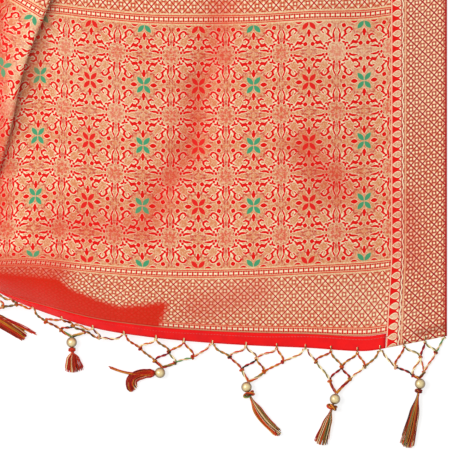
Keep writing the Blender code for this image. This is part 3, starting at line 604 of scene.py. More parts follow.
def cloth_wall(name, points, uv, used, above=CLOTH_WALL / 2, below=CLOTH_WALL / 2):
    """A closed wall either side of a grid of middle points, over the cells that are used."""
    rows, columns = points.shape[:2]
    normals = grid_normals(points)
    numbers = np.arange(rows * columns).reshape(rows, columns)
    under = rows * columns
    cells = np.argwhere(used)
    faces = []
    for r, c in cells:
        ring = (numbers[r, c], numbers[r, c + 1], numbers[r + 1, c + 1], numbers[r + 1, c])
        faces.append(ring)
        faces.append([place + under for place in reversed(ring)])
        neighbours = ((r - 1, c), (r, c + 1), (r + 1, c), (r, c - 1))
        for edge, (nr, nc) in enumerate(neighbours):
            if 0 <= nr < rows - 1 and 0 <= nc < columns - 1 and used[nr, nc]:
                continue
            first, second = ring[edge], ring[(edge + 1) % 4]
            faces.append((second, first, first + under, second + under))
    vertices = np.concatenate([(points + normals * above).reshape(-1, 3),
                               (points - normals * below).reshape(-1, 3)])
    uv = np.concatenate([uv.reshape(-1, 2)] * 2)
    kept = np.unique(np.concatenate([np.asarray(face) for face in faces]))
    place_of = np.full(len(vertices), -1)
    place_of[kept] = np.arange(len(kept))
    faces = [place_of[list(face)].tolist() for face in faces]
    return new_piece(name, vertices[kept], faces, uv[kept])


def with_v(true_u, v):
    """A grid of (u, v) pairs."""
    return np.stack([true_u, np.broadcast_to(v[:, None], true_u.shape)], axis=-1)


def every_cell(points):
    """A mark for each cell of a grid of points, all of them used."""
    return np.ones((points.shape[0] - 1, points.shape[1] - 1), dtype=bool)


def build_pallu():
    """The patterned end, with its borders reaching the hem's edge."""
    hem_rows = np.linspace(0.0, HEM_DEPTH + SEAM_GAP / 2, HEM_ROWS)
    last = PALLU_LENGTH - SEAM_GAP / 2
    steps = round((last - hem_rows[-1]) / ROW_STEP)
    v = np.concatenate([hem_rows, np.linspace(hem_rows[-1], last, steps + 1)[1:]])
    points, true_u = cloth_grid(v)
    used = every_cell(points)
    used[:len(hem_rows) - 1, BORDER_CELLS:-BORDER_CELLS] = False
    return cloth_wall("pallu_cloth", points, with_v(true_u, v), used)


def build_body_stretch():
    """The plain red cloth behind the pallu, turned under at the back edge."""
    turned = BACK_V + math.pi * ROLL_RADIUS
    v = np.concatenate([np.linspace(PALLU_LENGTH + SEAM_GAP / 2, BACK_V, BODY_ROWS),
                        np.linspace(BACK_V, turned, ROLL_ROWS)[1:],
                        np.linspace(turned, turned + TUCK, TUCK_ROWS)[1:]])
    points, true_u = cloth_grid(v)
    return cloth_wall("body_cloth", points, with_v(true_u, v), every_cell(points))


def build_hem():
    """The turned hem between the two borders."""
    v = np.linspace(0.0, HEM_DEPTH - SEAM_GAP / 2, HEM_BAND_ROWS)
    points, true_u = cloth_grid(v)
    points = points[:, BORDER_CELLS:-BORDER_CELLS]
    true_u = true_u[:, BORDER_CELLS:-BORDER_CELLS].copy()
    for column, u in ((0, BORDER_WIDTH + SEAM_GAP), (-1, CLOTH_WIDTH - BORDER_WIDTH - SEAM_GAP)):
        points[:, column] = placed(lambda r, u=u: lower_plan(u, r), u, v, 0.0)
        true_u[:, column] = u
    return cloth_wall("hem_band", points, with_v(true_u, v), every_cell(points), above=HEM_TOP)


def fold_plan(part, v):
    """Plan places over the folded body, part of the way from its right side to its left."""
    turn_at = (PLEAT_U - FOLD_RIGHT_U) / (FOLD_LEFT_U - FOLD_RIGHT_U)
    half = max(0.0, v - SHOULDER_V) * PLEAT_OPENING
    right_u = FOLD_RIGHT_U + (PLEAT_U - half - FOLD_RIGHT_U) * np.minimum(part / turn_at, 1.0)
    start = PLEAT_U + half
    left_u = start + (FOLD_LEFT_U - start) * np.maximum((part - turn_at) / (1 - turn_at), 0.0)
    on_right = part <= turn_at
    reach = np.full(part.shape, float(v))
    plan = np.where(on_right, right_plan(right_u, reach), left_plan(left_u, reach))
    return np.where(on_right, right_u, left_u), plan


def fold_top(part, v, drop=0.0):
    """Points on top of the folded body, clear of the cloth that lies over it."""
    u, plan = fold_plan(part, v)
    height = cloth_height(u, np.full(part.shape, min(v, BACK_V)), plan)
    height = height + crease_height(plan, height)
    steep = 1.0 + STEEP_EXTRA * smooth((SHOULDER_V - v) / SHOULDER_V) * np.minimum(1.0, height / STEEP_HEIGHT)
    clear = (CLOTH_WALL / 2 + FOLD_GAP) * steep
    top = np.maximum(FOLD_LEAST_HEIGHT, height - clear - np.minimum(drop, height * FOLD_STEP_SHARE))
    return np.stack([plan.real, plan.imag, top], axis=-1)


# The rolled edge of one folded layer: how far down it and how far out
LAYER_EDGE = ((0.02, 0.0), (0.08, 0.42), (0.22, 0.8), (0.45, 1.0), (0.7, 0.86), (0.86, 0.5), (0.96, 0.08))


def build_folded_body():
    """The folded length: flat underneath, its layers rolled one over another along the back."""
    parts = np.linspace(0.0, 1.0, FOLD_POINTS_ACROSS)
    lines = [fold_top(parts, v) for v in np.linspace(FOLD_FRONT_V, FOLD_TOP_V, FOLD_TOP_LINES)]
    lines.append(fold_top(parts, FOLD_STEP_V, FOLD_BACK_STEP))
    back_v = BACK_V - FOLD_BACK_SHORT
    crest = fold_top(parts, back_v, FOLD_BACK_STEP)
    out = unit_way(fold_plan(parts, back_v)[1] - fold_plan(parts, back_v - FOLD_WAY_REACH)[1])
    out = np.stack([out.real, out.imag, np.zeros(len(parts))], axis=-1)
    lines.append(crest - out * FOLD_BACK_EDGE)
    beat_column = np.arange(len(parts)) * BEAT_COLUMNS / (len(parts) - 1.0)
    for layer in range(FOLD_LAYERS):
        for down, bulge in LAYER_EDGE:
            level = 1.0 - (layer + down) / FOLD_LAYERS
            uneven = LAYER_EVEN + LAYER_UNEVEN * np.sin(layer * LAYER_BEAT + beat_column * COLUMN_BEAT)
            line = crest + out * (FOLD_BULGE * bulge * uneven)[:, None]
            line[:, 2] = crest[:, 2] * level
            lines.append(line)
    lines.append(crest * [1.0, 1.0, 0.0])
    grid = np.stack(lines)
    rows, columns = grid.shape[:2]
    numbers = np.arange(rows * columns).reshape(rows, columns)
    faces = []
    for r in range(rows - 1):
        for c in range(columns - 1):
            faces.append((numbers[r, c], numbers[r, c + 1], numbers[r + 1, c + 1], numbers[r + 1, c]))
    vertices = [tuple(point) for point in grid.reshape(-1, 3)]
    top_rows = len(lines) - 1 - FOLD_LAYERS * len(LAYER_EDGE)

    def foot(r, c):
        """A new point on the table under a point of the grid."""
        x, y, _ = grid[r, c]
        vertices.append((x, y, 0.0))
        return len(vertices) - 1

    front_feet = [foot(0, c) for c in range(columns)]
    for c in range(columns - 1):
        faces.append((numbers[0, c + 1], numbers[0, c], front_feet[c], front_feet[c + 1]))
    side_feet = []
    corners = ((0, front_feet[0], numbers[-1, 0]), (columns - 1, front_feet[-1], numbers[-1, -1]))
    for c, front, back in corners:
        feet = [front] + [foot(r, c) for r in range(1, top_rows)] + [int(back)]
        for r in range(top_rows - 1):
            faces.append((numbers[r, c], numbers[r + 1, c], feet[r + 1], feet[r]))
        end = [numbers[r, c] for r in range(top_rows - 1, rows)]
        faces.append(end[:-1] + [back, feet[-2]])
        side_feet.append(feet)
    outline = front_feet + side_feet[1][1:-1] + [numbers[-1, c] for c in reversed(range(columns))]
    faces.append(outline + list(reversed(side_feet[0][1:-1])))
    faces = [[int(place) for place in face] for face in faces]
    return new_piece("folded_length", vertices, faces, recalculate=True)


# The fringe, the same as in the part
CORD_RADIUS = 1.1
KNOT_RADIUS = 2.1
BEAD_RADIUS = 5.5
CORD_PARTING = 1.9
MIDDLE_ANCHOR_SHARE = 0.75
BEAD_TOP_GAPS = 1.85
FLOOR_CLEARANCE = 0.4
SEEN_ANCHORS = (
    2.6, 22.8, 44.5, 69.4, 92.6, 119.0, 144.5, 173.6, 205.4, 240.8, 271.9, 303.3, 339.1, 374.3, 410.3,
    446.2,
)
LAST_ANCHOR = 1121.4
FRINGE_GROUPS = 13
ANCHORS_IN_GROUP = 3
NET_END = 9
NET_LINKS = (
    (0, 4), (1, 4), (1, 5), (2, 5), (2, 6), (3, 6), (4, 7), (5, 7), (5, 8), (6, 8),
    (7, NET_END), (8, NET_END),
)
KNOT_COLUMNS = ("left", "middle", "right", "low_left", "low_right", "bead", "bend", "end")
SEEN_FRINGE = (
    ((175.7, -145.9), (201.0, -135.6), (216.8, -131.1), (193.2, -154.7), (204.5, -151.0),
     (200.4, -163.1), (194.5, -197.0), (186.0, -229.0)),
    ((93.5, -140.8), (120.2, -145.9), (143.4, -145.9), (107.9, -160.3), (128.4, -158.6),
     (113.0, -178.8), (104.0, -205.0), (97.5, -226.0)),
    ((5.1, -135.6), (32.6, -137.1), (59.1, -140.8), (17.5, -149.0), (40.1, -151.0),
     (22.1, -166.5), (32.0, -196.0), (57.0, -215.5)),
    ((-86.8, -126.9), (-57.5, -130.5), (-33.4, -136.2), (-71.9, -139.7), (-51.4, -141.8),
     (-66.8, -151.8), (-92.0, -153.0), (-111.0, -160.0)),
    ((-183.9, -99.2), (-156.0, -103.5), (-129.5, -115.9), (-168.5, -108.0), (-144.5, -110.0),
     (-157.5, -120.5), (-156.5, -137.0), (-154.5, -151.5)),
    ((-264.0, -58.6), (-242.5, -69.0), (-214.0, -81.5), (-260.5, -71.5), (-228.0, -84.0),
     (-247.0, -90.5), (-222.0, -103.0), (-196.0, -114.0)),
)
# The groups that the photo doesn't show: how far the bead hangs out, the tassel's sway and its length
UNSEEN_FRINGE = (
    (37.0, -14.0, 53.0), (40.0, 11.0, 50.0), (36.0, 24.0, 55.0), (41.0, -7.0, 52.0),
    (38.0, -24.0, 51.0), (42.0, 9.0, 56.0), (40.0, -12.0, 50.0),
)
UNSEEN_KNOTS = (("right", 0.36), ("middle", 0.4), ("left", 0.34), ("low_right", 0.66), ("low_left", 0.68))
TASSEL_BEND_SHARE = 0.5
TASSEL_STRAIGHT_SHARE = 0.45
KNOT_LEVELS = (("left", 0.55), ("middle", 0.55), ("right", 0.55), ("low_left", 0.28), ("low_right", 0.28))
KNOT_RISE = 1.0

# How each tassel hangs: half its width half-way and at its end, its collar knot and how red it is
TASSELS = (
    (5.4, 7.6, 2.1, 0.25), (4.8, 7.2, 3.4, 0.3), (5.0, 4.6, 3.8, 0.25), (7.5, 9.0, 1.6, 1.0),
    (6.8, 10.0, 2.0, 1.0), (6.2, 7.4, 2.4, 0.3), (5.0, 7.4, 2.8, 0.3), (5.6, 7.0, 2.4, 0.5),
    (5.2, 8.0, 3.0, 0.3), (4.8, 7.0, 2.2, 0.4), (5.6, 8.2, 2.8, 0.3), (5.0, 6.6, 3.0, 0.6),
    (5.4, 7.8, 2.4, 0.3),
)
# Tassels whose threads part into locks: the lock's share, its bend and end, and half its width there
TASSEL_LOCKS = {
    3: ((0.86, (-106.0, -151.0), (-93.5, -170.5), 5.4, 6.2),
        (0.14, (-98.0, -157.0), (-120.0, -145.0), 1.8, 1.0)),
    5: ((0.82, (-222.0, -103.0), (-205.0, -116.5), 6.6, 5.4),
        (0.18, (-219.0, -97.5), (-193.0, -113.0), 2.4, 1.6)),
}
# Half the width of a tassel that leaves its bead wider than the rest do
WIDE_NECKS = {3: 4.5}
# How many times faster than its neck a wide tassel's shoulder opens
SHOULDER_RATE = 2.2
# How far along its threads a tassel is at its fullest
TASSEL_SWELLS = 0.5
LOCK_SWELLS = 0.26

# A tassel's threads: how they differ, and how high they lie from the bead to their ends
THREADS_IN_TASSEL = 84
THREAD_STEPS = 13
THREAD_RADIUS = 0.34
THREAD_FLOOR = 0.6
THREAD_UNEVEN = 0.14
THREAD_WAVE = 0.7
THREAD_BEATS = (0.8, 1.7)
THREAD_SWAYS = (0.3, 1.0)
THREAD_ROUNDING = 0.06
THREAD_NECK = 1.0
THREAD_START_DROP = 0.8
THREAD_END_LEVEL = 3.0
TASSEL_NECK_RISE = 1.3
TASSEL_FULL_RISE = 1.4
TASSEL_RISE_RATE = 2.0
BEAD_HOLE = 1.1

# The knot that a tassel hangs from
COLLAR_THICKNESS = 0.45
COLLAR_THREAD = 1.5
COLLAR_GAP = 1.0
COLLAR_RISE = 2.2
COLLAR_STEPS = 60
NECK_CLEAR = 1.6
GOLDEN_TURN = math.pi * (3.0 - math.sqrt(5.0))

# The net's slack cords, how they leave and reach their knots, and how far they wander
CORD_STEPS = 12
CORD_SLACK = 0.36
CORD_LEAVES = 0.45
CORD_ARRIVES = 0.5
CORD_WANDER = 0.7
CORD_WANDER_RISE = 0.3
PLY_RADIUS = 0.78
PLY_OFFSET = 0.62
DOUBLED_PLY_RADIUS = 0.68
DOUBLED_PLY_OFFSET = 0.95
KNOT_THREAD_RADIUS = 0.5
KNOT_THREAD_OFFSET = 0.42
PALE_THREAD = 0.0589
CORD_TWIST = 0.5
KNOT_STEPS = 44
KNOT_SIZES = (0.9, 1.2)
KNOT_RING = 1.15
KNOT_THICKNESS = 0.75

# The loops over the hem: from which place, how far on over the cloth and how far up
LOOP_REACH = 3.8
LOOP_HOLD = 1.6
LOOP_RING = 0.95
LOOP_THICKNESS = 0.55
LOOP_OVER = (
    ("hold", 0.0, -0.3), ("edge", -0.3, 1.7), ("edge", 1.6, 1.9), ("inner", -0.3, 1.5), ("inner", 0.3, 0.2),
)
LOOP_UNDER = (("hold", 0.0, -0.3), ("edge", -0.3, -1.2), ("edge", 1.6, -1.3), ("inner", 0.0, -0.3))

# Cords that the node tree lays: threads, each one's radius and offset, twist, step and sides
SINGLE_CORD = (2, PLY_RADIUS, PLY_OFFSET, CORD_TWIST, 1.1, 6)
DOUBLED_CORD = (4, DOUBLED_PLY_RADIUS, DOUBLED_PLY_OFFSET, 0.6 * CORD_TWIST, 1.1, 6)
KNOT_CORD = (2, KNOT_THREAD_RADIUS, KNOT_THREAD_OFFSET, CORD_TWIST, 0.7, 5)
COLLAR_CORD = (4, 0.62, 0.85, 0.5 * CORD_TWIST, 0.8, 6)
LOOSE_THREAD = (1, THREAD_RADIUS, 0.0, 0.0, 3.2, 4)
SEWING_THREAD = (1, 0.26, 0.0, 0.0, 0.9, 4)
NET_REDNESS = 0.35

# The hem's running stitches
STITCH_LINE_V = 10.8
STITCH_LENGTH = 2.3
STITCH_PITCH = 3.2
STITCH_HEIGHT = 0.35
STITCH_MARGIN = 3.0
STITCH_WANDER = ((1.1, 63.0), (0.5, 17.0))

# The beads, with painted shade that darkens them toward their edge on the table
BEAD_EDGE_HEIGHT = 5.2
BEAD_EDGE_EASE = 2.6
BEAD_RINGS = 20
BEAD_SEGMENTS = 32

# How finely places along the hem are looked up, and how far apart the hem's way is measured
HEM_LOOKUPS = 1125
HEM_WAY_REACH = 4.0


def anchors():
    """Where the fringe cords leave the hem, as u of the lay table."""
    places = list(SEEN_ANCHORS)
    left = FRINGE_GROUPS * ANCHORS_IN_GROUP + 1 - len(places)
    step = (LAST_ANCHOR - places[-1]) / left
    return places + [places[-1] + step * (number + 1) for number in range(left)]


def group_anchors(number):
    """Where the cords of one fringe group leave the hem, from right to left."""
    return anchors()[number * ANCHORS_IN_GROUP:(number + 1) * ANCHORS_IN_GROUP + 1]


def hem_point(laid_u, v):
    """A middle point of the cloth near the hem, its place along it counted as in the lay table."""
    columns = np.linspace(0.0, CLOTH_WIDTH, HEM_LOOKUPS)
    u = float(np.interp(laid_u, leaned(columns, v), columns))
    return placed(lambda r: lower_plan(u, r), u, np.array([float(v)]), 0.0)[0]


def edge_frame(u):
    """A point of the hem's edge, the way out from it and the way along it."""
    point = hem_point(u, 0.0)
    further, nearer = min(u + HEM_WAY_REACH, CLOTH_WIDTH), max(u - HEM_WAY_REACH, 0.0)
    beside = hem_point(further, 0.0) - hem_point(nearer, 0.0)
    side = unit_vector(np.array([beside[0], beside[1], 0.0]))
    return point, np.array([-side[1], side[0], 0.0]), side


def fringe_group(number):
    """Knot, bead and tassel places of one group, right to left: its cord ends and a dictionary of points."""
    places = group_anchors(number)
    ends = []
    for index, u in enumerate(places):
        point, _, side = edge_frame(u)
        outer = index in (0, ANCHORS_IN_GROUP)
        parting = {0: CORD_PARTING, ANCHORS_IN_GROUP: -CORD_PARTING}.get(index, 0.0)
        down = unit_vector(point - hem_point(u, HEM_WAY_REACH))
        clear = SEAM_GAP + CORD_RADIUS * (1.0 if outer else MIDDLE_ANCHOR_SHARE) - CORD_RADIUS * down[2]
        end = point + down * clear + side * parting
        end[2] = max(end[2], CORD_RADIUS + FLOOR_CLEARANCE)
        ends.append(end)
    if number < len(SEEN_FRINGE):
        flat = {name: np.array([x, y, 0.0]) for name, (x, y) in zip(KNOT_COLUMNS, SEEN_FRINGE[number])}
    else:
        reach, sway, tassel = UNSEEN_FRINGE[number - len(SEEN_FRINGE)]

        def out_from(u, distance):
            """A place on the table, out from the hem at u."""
            point, out, _ = edge_frame(u)
            return np.array([point[0], point[1], 0.0]) + out * distance

        between = [(places[i] + places[i + 1]) / 2 for i in range(ANCHORS_IN_GROUP)]
        carried = {"right": between[0], "middle": between[1], "left": between[2],
                   "low_right": places[1], "low_left": places[2]}
        flat = {name: out_from(carried[name], reach * share) for name, share in UNSEEN_KNOTS}
        flat["bead"] = out_from(between[1], reach)
        out = edge_frame(between[1])[1]
        turn = math.radians(sway)
        swayed = np.array([out[0] * math.cos(turn) - out[1] * math.sin(turn),
                           out[0] * math.sin(turn) + out[1] * math.cos(turn), 0.0])
        flat["bend"] = flat["bead"] + out * tassel * TASSEL_BEND_SHARE
        flat["end"] = (flat["bead"] + out * tassel * TASSEL_STRAIGHT_SHARE
                       + swayed * tassel * (1.0 - TASSEL_STRAIGHT_SHARE))
    hem_level = ends[1][2]
    for name, share in KNOT_LEVELS:
        flat[name][2] = max(KNOT_RADIUS + FLOOR_CLEARANCE, hem_level * share + KNOT_RISE)
    flat["bead"][2] = BEAD_RADIUS
    return ends, flat


def bead_top(points):
    """The place where the net meets its bead."""
    back = (points["low_left"] + points["low_right"]) / 2 - points["bead"]
    return points["bead"] + unit_vector(back) * (BEAD_RADIUS + BEAD_TOP_GAPS * SEAM_GAP)


def tassel_axis(points, reach):
    """A point and a direction on a tassel's middle line, reach being 0 at the bead and 1 at its end."""
    first = points["bead"] + (points["bend"] - points["bead"]) * reach
    second = points["bend"] + (points["end"] - points["bend"]) * reach
    place = first + (second - first) * reach
    way = second - first
    return np.array([place[0], place[1], 0.0]), unit_vector(np.array([way[0], way[1], 0.0]))


def swung(start, finish, start_way, finish_way, steps=CORD_STEPS):
    """A slack cord's path between two points, leaving and arriving in the ways given."""
    reach = np.linalg.norm(finish - start) * CORD_SLACK
    handles = (start, start + start_way * reach, finish - finish_way * reach, finish)
    part = np.linspace(0.0, 1.0, steps + 1)[:, None]
    shares = ((1 - part) ** 3, 3 * part * (1 - part) ** 2, 3 * part ** 2 * (1 - part), part ** 3)
    return sum(share * handle for share, handle in zip(shares, handles))


def knot_path(centre, axis, ring, thickness, steps=KNOT_STEPS):
    """A tied knot's path round a centre: a cord that goes twice round its axis and three times through."""
    turn = np.linspace(0.0, 2 * math.pi, steps + 1)
    side = unit_vector(np.cross(axis, (0.0, 0.0, 1.0)))
    rise = np.cross(side, axis)
    reach = ring + thickness * np.cos(3 * turn)
    return (centre + np.outer(reach * np.cos(2 * turn), side) + np.outer(reach * np.sin(2 * turn), rise)
            + np.outer(thickness * np.sin(3 * turn), axis))


def above_table(paths, half_thick):
    """Cord paths, lifted wherever the cord would sink into the table."""
    return [np.column_stack([path[:, :2], np.maximum(path[:, 2], half_thick)]) for path in paths]


def hem_loop(u):
    """Paths of one loop over the hem's edge: over the cloth, under it, and the knot that draws it tight."""
    edge, out, _ = edge_frame(u)
    inner = hem_point(u, LOOP_REACH)
    way = unit_vector(inner - edge)
    up = unit_vector(np.cross(np.cross(way, (0.0, 0.0, 1.0)), way))
    places = {"hold": edge - way * LOOP_HOLD, "edge": edge, "inner": inner}
    sides = [np.array([places[name] + way * on + up * rise for name, on, rise in rows])
             for rows in (LOOP_OVER, LOOP_UNDER)]
    return sides + [knot_path(places["hold"], out, LOOP_RING, LOOP_THICKNESS)]


def net_paths(number, chance):
    """Paths of one net's single cords, of its doubled cords and knots, and of its loops over the hem."""
    ends, points = fringe_group(number)
    nodes = ends + [points[name] for name in ("right", "middle", "left", "low_right", "low_left")]
    nodes.append(bead_top(points))
    toward_bead = [unit_vector(points["bead"] - node) for node in nodes]
    places = group_anchors(number)
    outward = [edge_frame(u)[1] for u in places] + toward_bead[len(ends):]
    cords, doubled, knots, loops = [], [], [], []
    for start, finish in NET_LINKS:
        straight = unit_vector(nodes[finish] - nodes[start])
        leaves = unit_vector(straight * CORD_LEAVES + outward[start])
        arrives = straight
        if finish != NET_END:
            arrives = unit_vector(straight * CORD_ARRIVES + toward_bead[finish])
        path = swung(nodes[start], nodes[finish], leaves, arrives)
        swell = np.sin(np.linspace(0.0, math.pi, len(path)))[:, None]
        wander = swell * chance.uniform(-CORD_WANDER, CORD_WANDER, 3)
        wander[:, 2] *= CORD_WANDER_RISE
        (doubled if finish == NET_END else cords).append(path + wander)
    for index in range(len(ends), NET_END):
        size = chance.uniform(*KNOT_SIZES)
        knots.append(knot_path(nodes[index], toward_bead[index], KNOT_RING * size, KNOT_THICKNESS * size))
    for index, u in enumerate(places):
        if index < ANCHORS_IN_GROUP or number == FRINGE_GROUPS - 1:
            loops += hem_loop(u)
    fine, stout = KNOT_THREAD_RADIUS + KNOT_THREAD_OFFSET, PLY_RADIUS + PLY_OFFSET
    return (above_table(cords, stout), above_table(doubled, stout), above_table(knots, fine),
            above_table(loops, fine))


def threads_of(locks):
    """Each thread's lock, its place in it and how many threads the lock has."""
    for lock in locks:
        count = round(lock[0] * THREADS_IN_TASSEL)
        for place in range(count):
            yield lock, place, count


def half_width(part, neck, swells, widths):
    """Half a tassel's width part of the way down it: at its neck, at its fullest and at its end."""
    neck_half, middle_half, end_half = widths
    if part < neck:
        return THREAD_NECK + (neck_half - THREAD_NECK) * smooth(part * SHOULDER_RATE / neck)
    if part < swells:
        return neck_half + (middle_half - neck_half) * smooth((part - neck) / (swells - neck))
    return middle_half + (end_half - middle_half) * smooth((part - swells) / (1.0 - swells))


def tassel_paths(number, chance):
    """Paths of one tassel's threads, and of the knot they leave."""
    points = fringe_group(number)[1]
    middle_half, end_half, collar, redness = TASSELS[number]
    length = (np.linalg.norm(points["bend"] - points["bead"])
              + np.linalg.norm(points["end"] - points["bend"]))
    first = (BEAD_RADIUS - BEAD_HOLE) / length
    neck = (BEAD_RADIUS + 2 * collar * COLLAR_THICKNESS + NECK_CLEAR) / length
    whole = ((1.0, tuple(points["bend"][:2]), tuple(points["end"][:2]), middle_half, end_half),)
    locks = TASSEL_LOCKS.get(number, whole)
    swells = LOCK_SWELLS if number in TASSEL_LOCKS else TASSEL_SWELLS
    threads = []
    for thread, (lock, own_place, own_count) in enumerate(threads_of(locks)):
        _, bend, end, lock_middle, lock_end = lock
        widths = (WIDE_NECKS.get(number, THREAD_NECK), lock_middle, lock_end)
        hung = dict(points, bend=np.array([*bend, 0.0]), end=np.array([*end, 0.0]))
        lead = 2.0 * np.linalg.norm(hung["bend"][:2] - points["bead"][:2])
        start = min(first, (BEAD_RADIUS - BEAD_HOLE) / lead)
        out_share = math.sqrt((own_place + 0.5) / own_count)
        turn = thread * GOLDEN_TURN
        across, upward = out_share * math.cos(turn), out_share * math.sin(turn)
        reach = 1.0 - THREAD_UNEVEN * (chance.random() ** 2) - THREAD_ROUNDING * across * across
        phase = chance.uniform(0.0, 2 * math.pi)
        beat, wave = chance.uniform(*THREAD_BEATS), chance.uniform(*THREAD_SWAYS)
        path = []
        for part in np.linspace(0.0, 1.0, THREAD_STEPS):
            place, way = tassel_axis(hung, start + (reach - start) * part)
            side = np.array([-way[1], way[0], 0.0])
            sway = THREAD_WAVE * wave * max(0.0, part - neck) * math.sin(phase + beat * 2 * math.pi * part)
            rise = TASSEL_NECK_RISE + TASSEL_FULL_RISE * smooth(part * TASSEL_RISE_RATE)
            level = (BEAD_RADIUS - THREAD_START_DROP) * (1.0 - part) + THREAD_END_LEVEL * part + upward * rise
            path.append(place + side * (half_width(part, neck, swells, widths) * across + sway)
                        + np.array([0.0, 0.0, max(THREAD_FLOOR, level)]))
        threads.append(np.array(path))
    place, way = tassel_axis(points, (BEAD_RADIUS + collar * COLLAR_THICKNESS + COLLAR_GAP) / length)
    centre = place + np.array([0.0, 0.0, max(BEAD_RADIUS - THREAD_START_DROP, collar + COLLAR_RISE)])
    tied = knot_path(centre, way, collar, collar * COLLAR_THICKNESS, COLLAR_STEPS)
    return threads, above_table([tied], COLLAR_THREAD)[0], redness


def cord_maker():
    """The node tree that lays twisted threads along every path of a mesh."""
    tree = bpy.data.node_groups.new("laid_threads", "GeometryNodeTree")
    face = tree.interface
    face.new_socket("Paths", in_out="INPUT", socket_type="NodeSocketGeometry")
    for name, kind in (("Threads", "NodeSocketInt"), ("Thread radius", "NodeSocketFloat"),
                       ("Offset", "NodeSocketFloat"), ("Twist", "NodeSocketFloat"),
                       ("Step", "NodeSocketFloat"), ("Sides", "NodeSocketInt"),
                       ("Material", "NodeSocketMaterial")):
        face.new_socket(name, in_out="INPUT", socket_type=kind)
    face.new_socket("Cords", in_out="OUTPUT", socket_type="NodeSocketGeometry")
    nodes, links = tree.nodes, tree.links
    given = nodes.new("NodeGroupInput").outputs
    curve = nodes.new("GeometryNodeMeshToCurve")
    links.new(given["Paths"], curve.inputs["Mesh"])
    spaced = nodes.new("GeometryNodeResampleCurve")
    spaced.mode = "LENGTH"
    links.new(curve.outputs["Curve"], spaced.inputs["Curve"])
    links.new(given["Step"], spaced.inputs["Length"])
    run = nodes.new("GeometryNodeSplineParameter")
    turned = nodes.new("ShaderNodeMath")
    turned.operation = "MULTIPLY"
    links.new(run.outputs["Length"], turned.inputs[0])
    links.new(given["Twist"], turned.inputs[1])
    tilted = nodes.new("GeometryNodeSetCurveTilt")
    links.new(spaced.outputs["Curve"], tilted.inputs["Curve"])
    links.new(turned.outputs["Value"], tilted.inputs["Tilt"])
    number = nodes.new("GeometryNodeInputIndex").outputs["Index"]

    def sum_of(operation, first, second=0.0):
        """A Math node's result."""
        node = nodes.new("ShaderNodeMath")
        node.operation = operation
        for socket, value in zip(node.inputs, (first, second)):
            if isinstance(value, float):
                socket.default_value = value
            else:
                links.new(value, socket)
        return node.outputs["Value"]

    angle = sum_of("DIVIDE", sum_of("MULTIPLY", number, 2.0 * math.pi), given["Threads"])
    beside = nodes.new("ShaderNodeCombineXYZ")
    links.new(sum_of("MULTIPLY", sum_of("COSINE", angle), given["Offset"]), beside.inputs["X"])
    links.new(sum_of("MULTIPLY", sum_of("SINE", angle), given["Offset"]), beside.inputs["Y"])
    ring = nodes.new("GeometryNodePoints")
    links.new(given["Threads"], ring.inputs["Count"])
    links.new(beside.outputs["Vector"], ring.inputs["Position"])
    section = nodes.new("GeometryNodeCurvePrimitiveCircle")
    links.new(given["Sides"], section.inputs["Resolution"])
    links.new(given["Thread radius"], section.inputs["Radius"])
    several = nodes.new("GeometryNodeInstanceOnPoints")
    links.new(ring.outputs["Points"], several.inputs["Points"])
    links.new(section.outputs["Curve"], several.inputs["Instance"])
    stored = nodes.new("GeometryNodeStoreNamedAttribute")
    stored.domain = "INSTANCE"
    stored.data_type = "FLOAT"
    stored.inputs["Name"].default_value = "thread"
    links.new(several.outputs["Instances"], stored.inputs["Geometry"])
    links.new(number, stored.inputs["Value"])
    profile = nodes.new("GeometryNodeRealizeInstances")
    links.new(stored.outputs["Geometry"], profile.inputs["Geometry"])
    laid = nodes.new("GeometryNodeCurveToMesh")
    links.new(tilted.outputs["Curve"], laid.inputs["Curve"])
    links.new(profile.outputs["Geometry"], laid.inputs["Profile Curve"])
    laid.inputs["Fill Caps"].default_value = True
    smoothed = nodes.new("GeometryNodeSetShadeSmooth")
    links.new(laid.outputs["Mesh"], smoothed.inputs["Geometry"])
    real = nodes.new("GeometryNodeRealizeInstances")
    links.new(smoothed.outputs["Geometry"], real.inputs["Geometry"])
    coated = nodes.new("GeometryNodeSetMaterial")
    links.new(real.outputs["Geometry"], coated.inputs["Geometry"])
    links.new(given["Material"], coated.inputs["Material"])
    links.new(coated.outputs["Geometry"], nodes.new("NodeGroupOutput").inputs["Cords"])
    return tree


def laid_cords(tree, paths, chance, material, cord, own_colour=None):
    """A mesh of cords laid along paths by the node tree, each path with a number that picks its colours."""
    points, edges, own = [], [], []
    for path in paths:
        first = len(points)
        points += [(place * MILLIMETRE).tolist() for place in path]
        edges += [(first + step, first + step + 1) for step in range(len(path) - 1)]
        own += [chance.random() if own_colour is None else own_colour] * len(path)
    mesh = bpy.data.meshes.new("paths")
    mesh.from_pydata(points, edges, [])
    mesh.attributes.new("own", "FLOAT", "POINT").data.foreach_set("value", own)
    drawn = bpy.data.objects.new("paths", mesh)
    bpy.context.scene.collection.objects.link(drawn)
    laying = drawn.modifiers.new("laid", "NODES")
    laying.node_group = tree
    threads, radius, offset, twist, step, sides = cord
    settings = {"Threads": threads, "Thread radius": radius * MILLIMETRE, "Offset": offset * MILLIMETRE,
                "Twist": twist / MILLIMETRE, "Step": step * MILLIMETRE, "Sides": sides, "Material": material}
    for item in tree.interface.items_tree:
        if item.in_out == "INPUT" and item.name in settings:
            laying[item.identifier] = settings[item.name]
    graph = bpy.context.evaluated_depsgraph_get()
    made = bpy.data.meshes.new_from_object(drawn.evaluated_get(graph), preserve_all_data_layers=True,
                                           depsgraph=graph)
    bpy.data.objects.remove(drawn, do_unlink=True)
    bpy.data.meshes.remove(mesh)
    return made


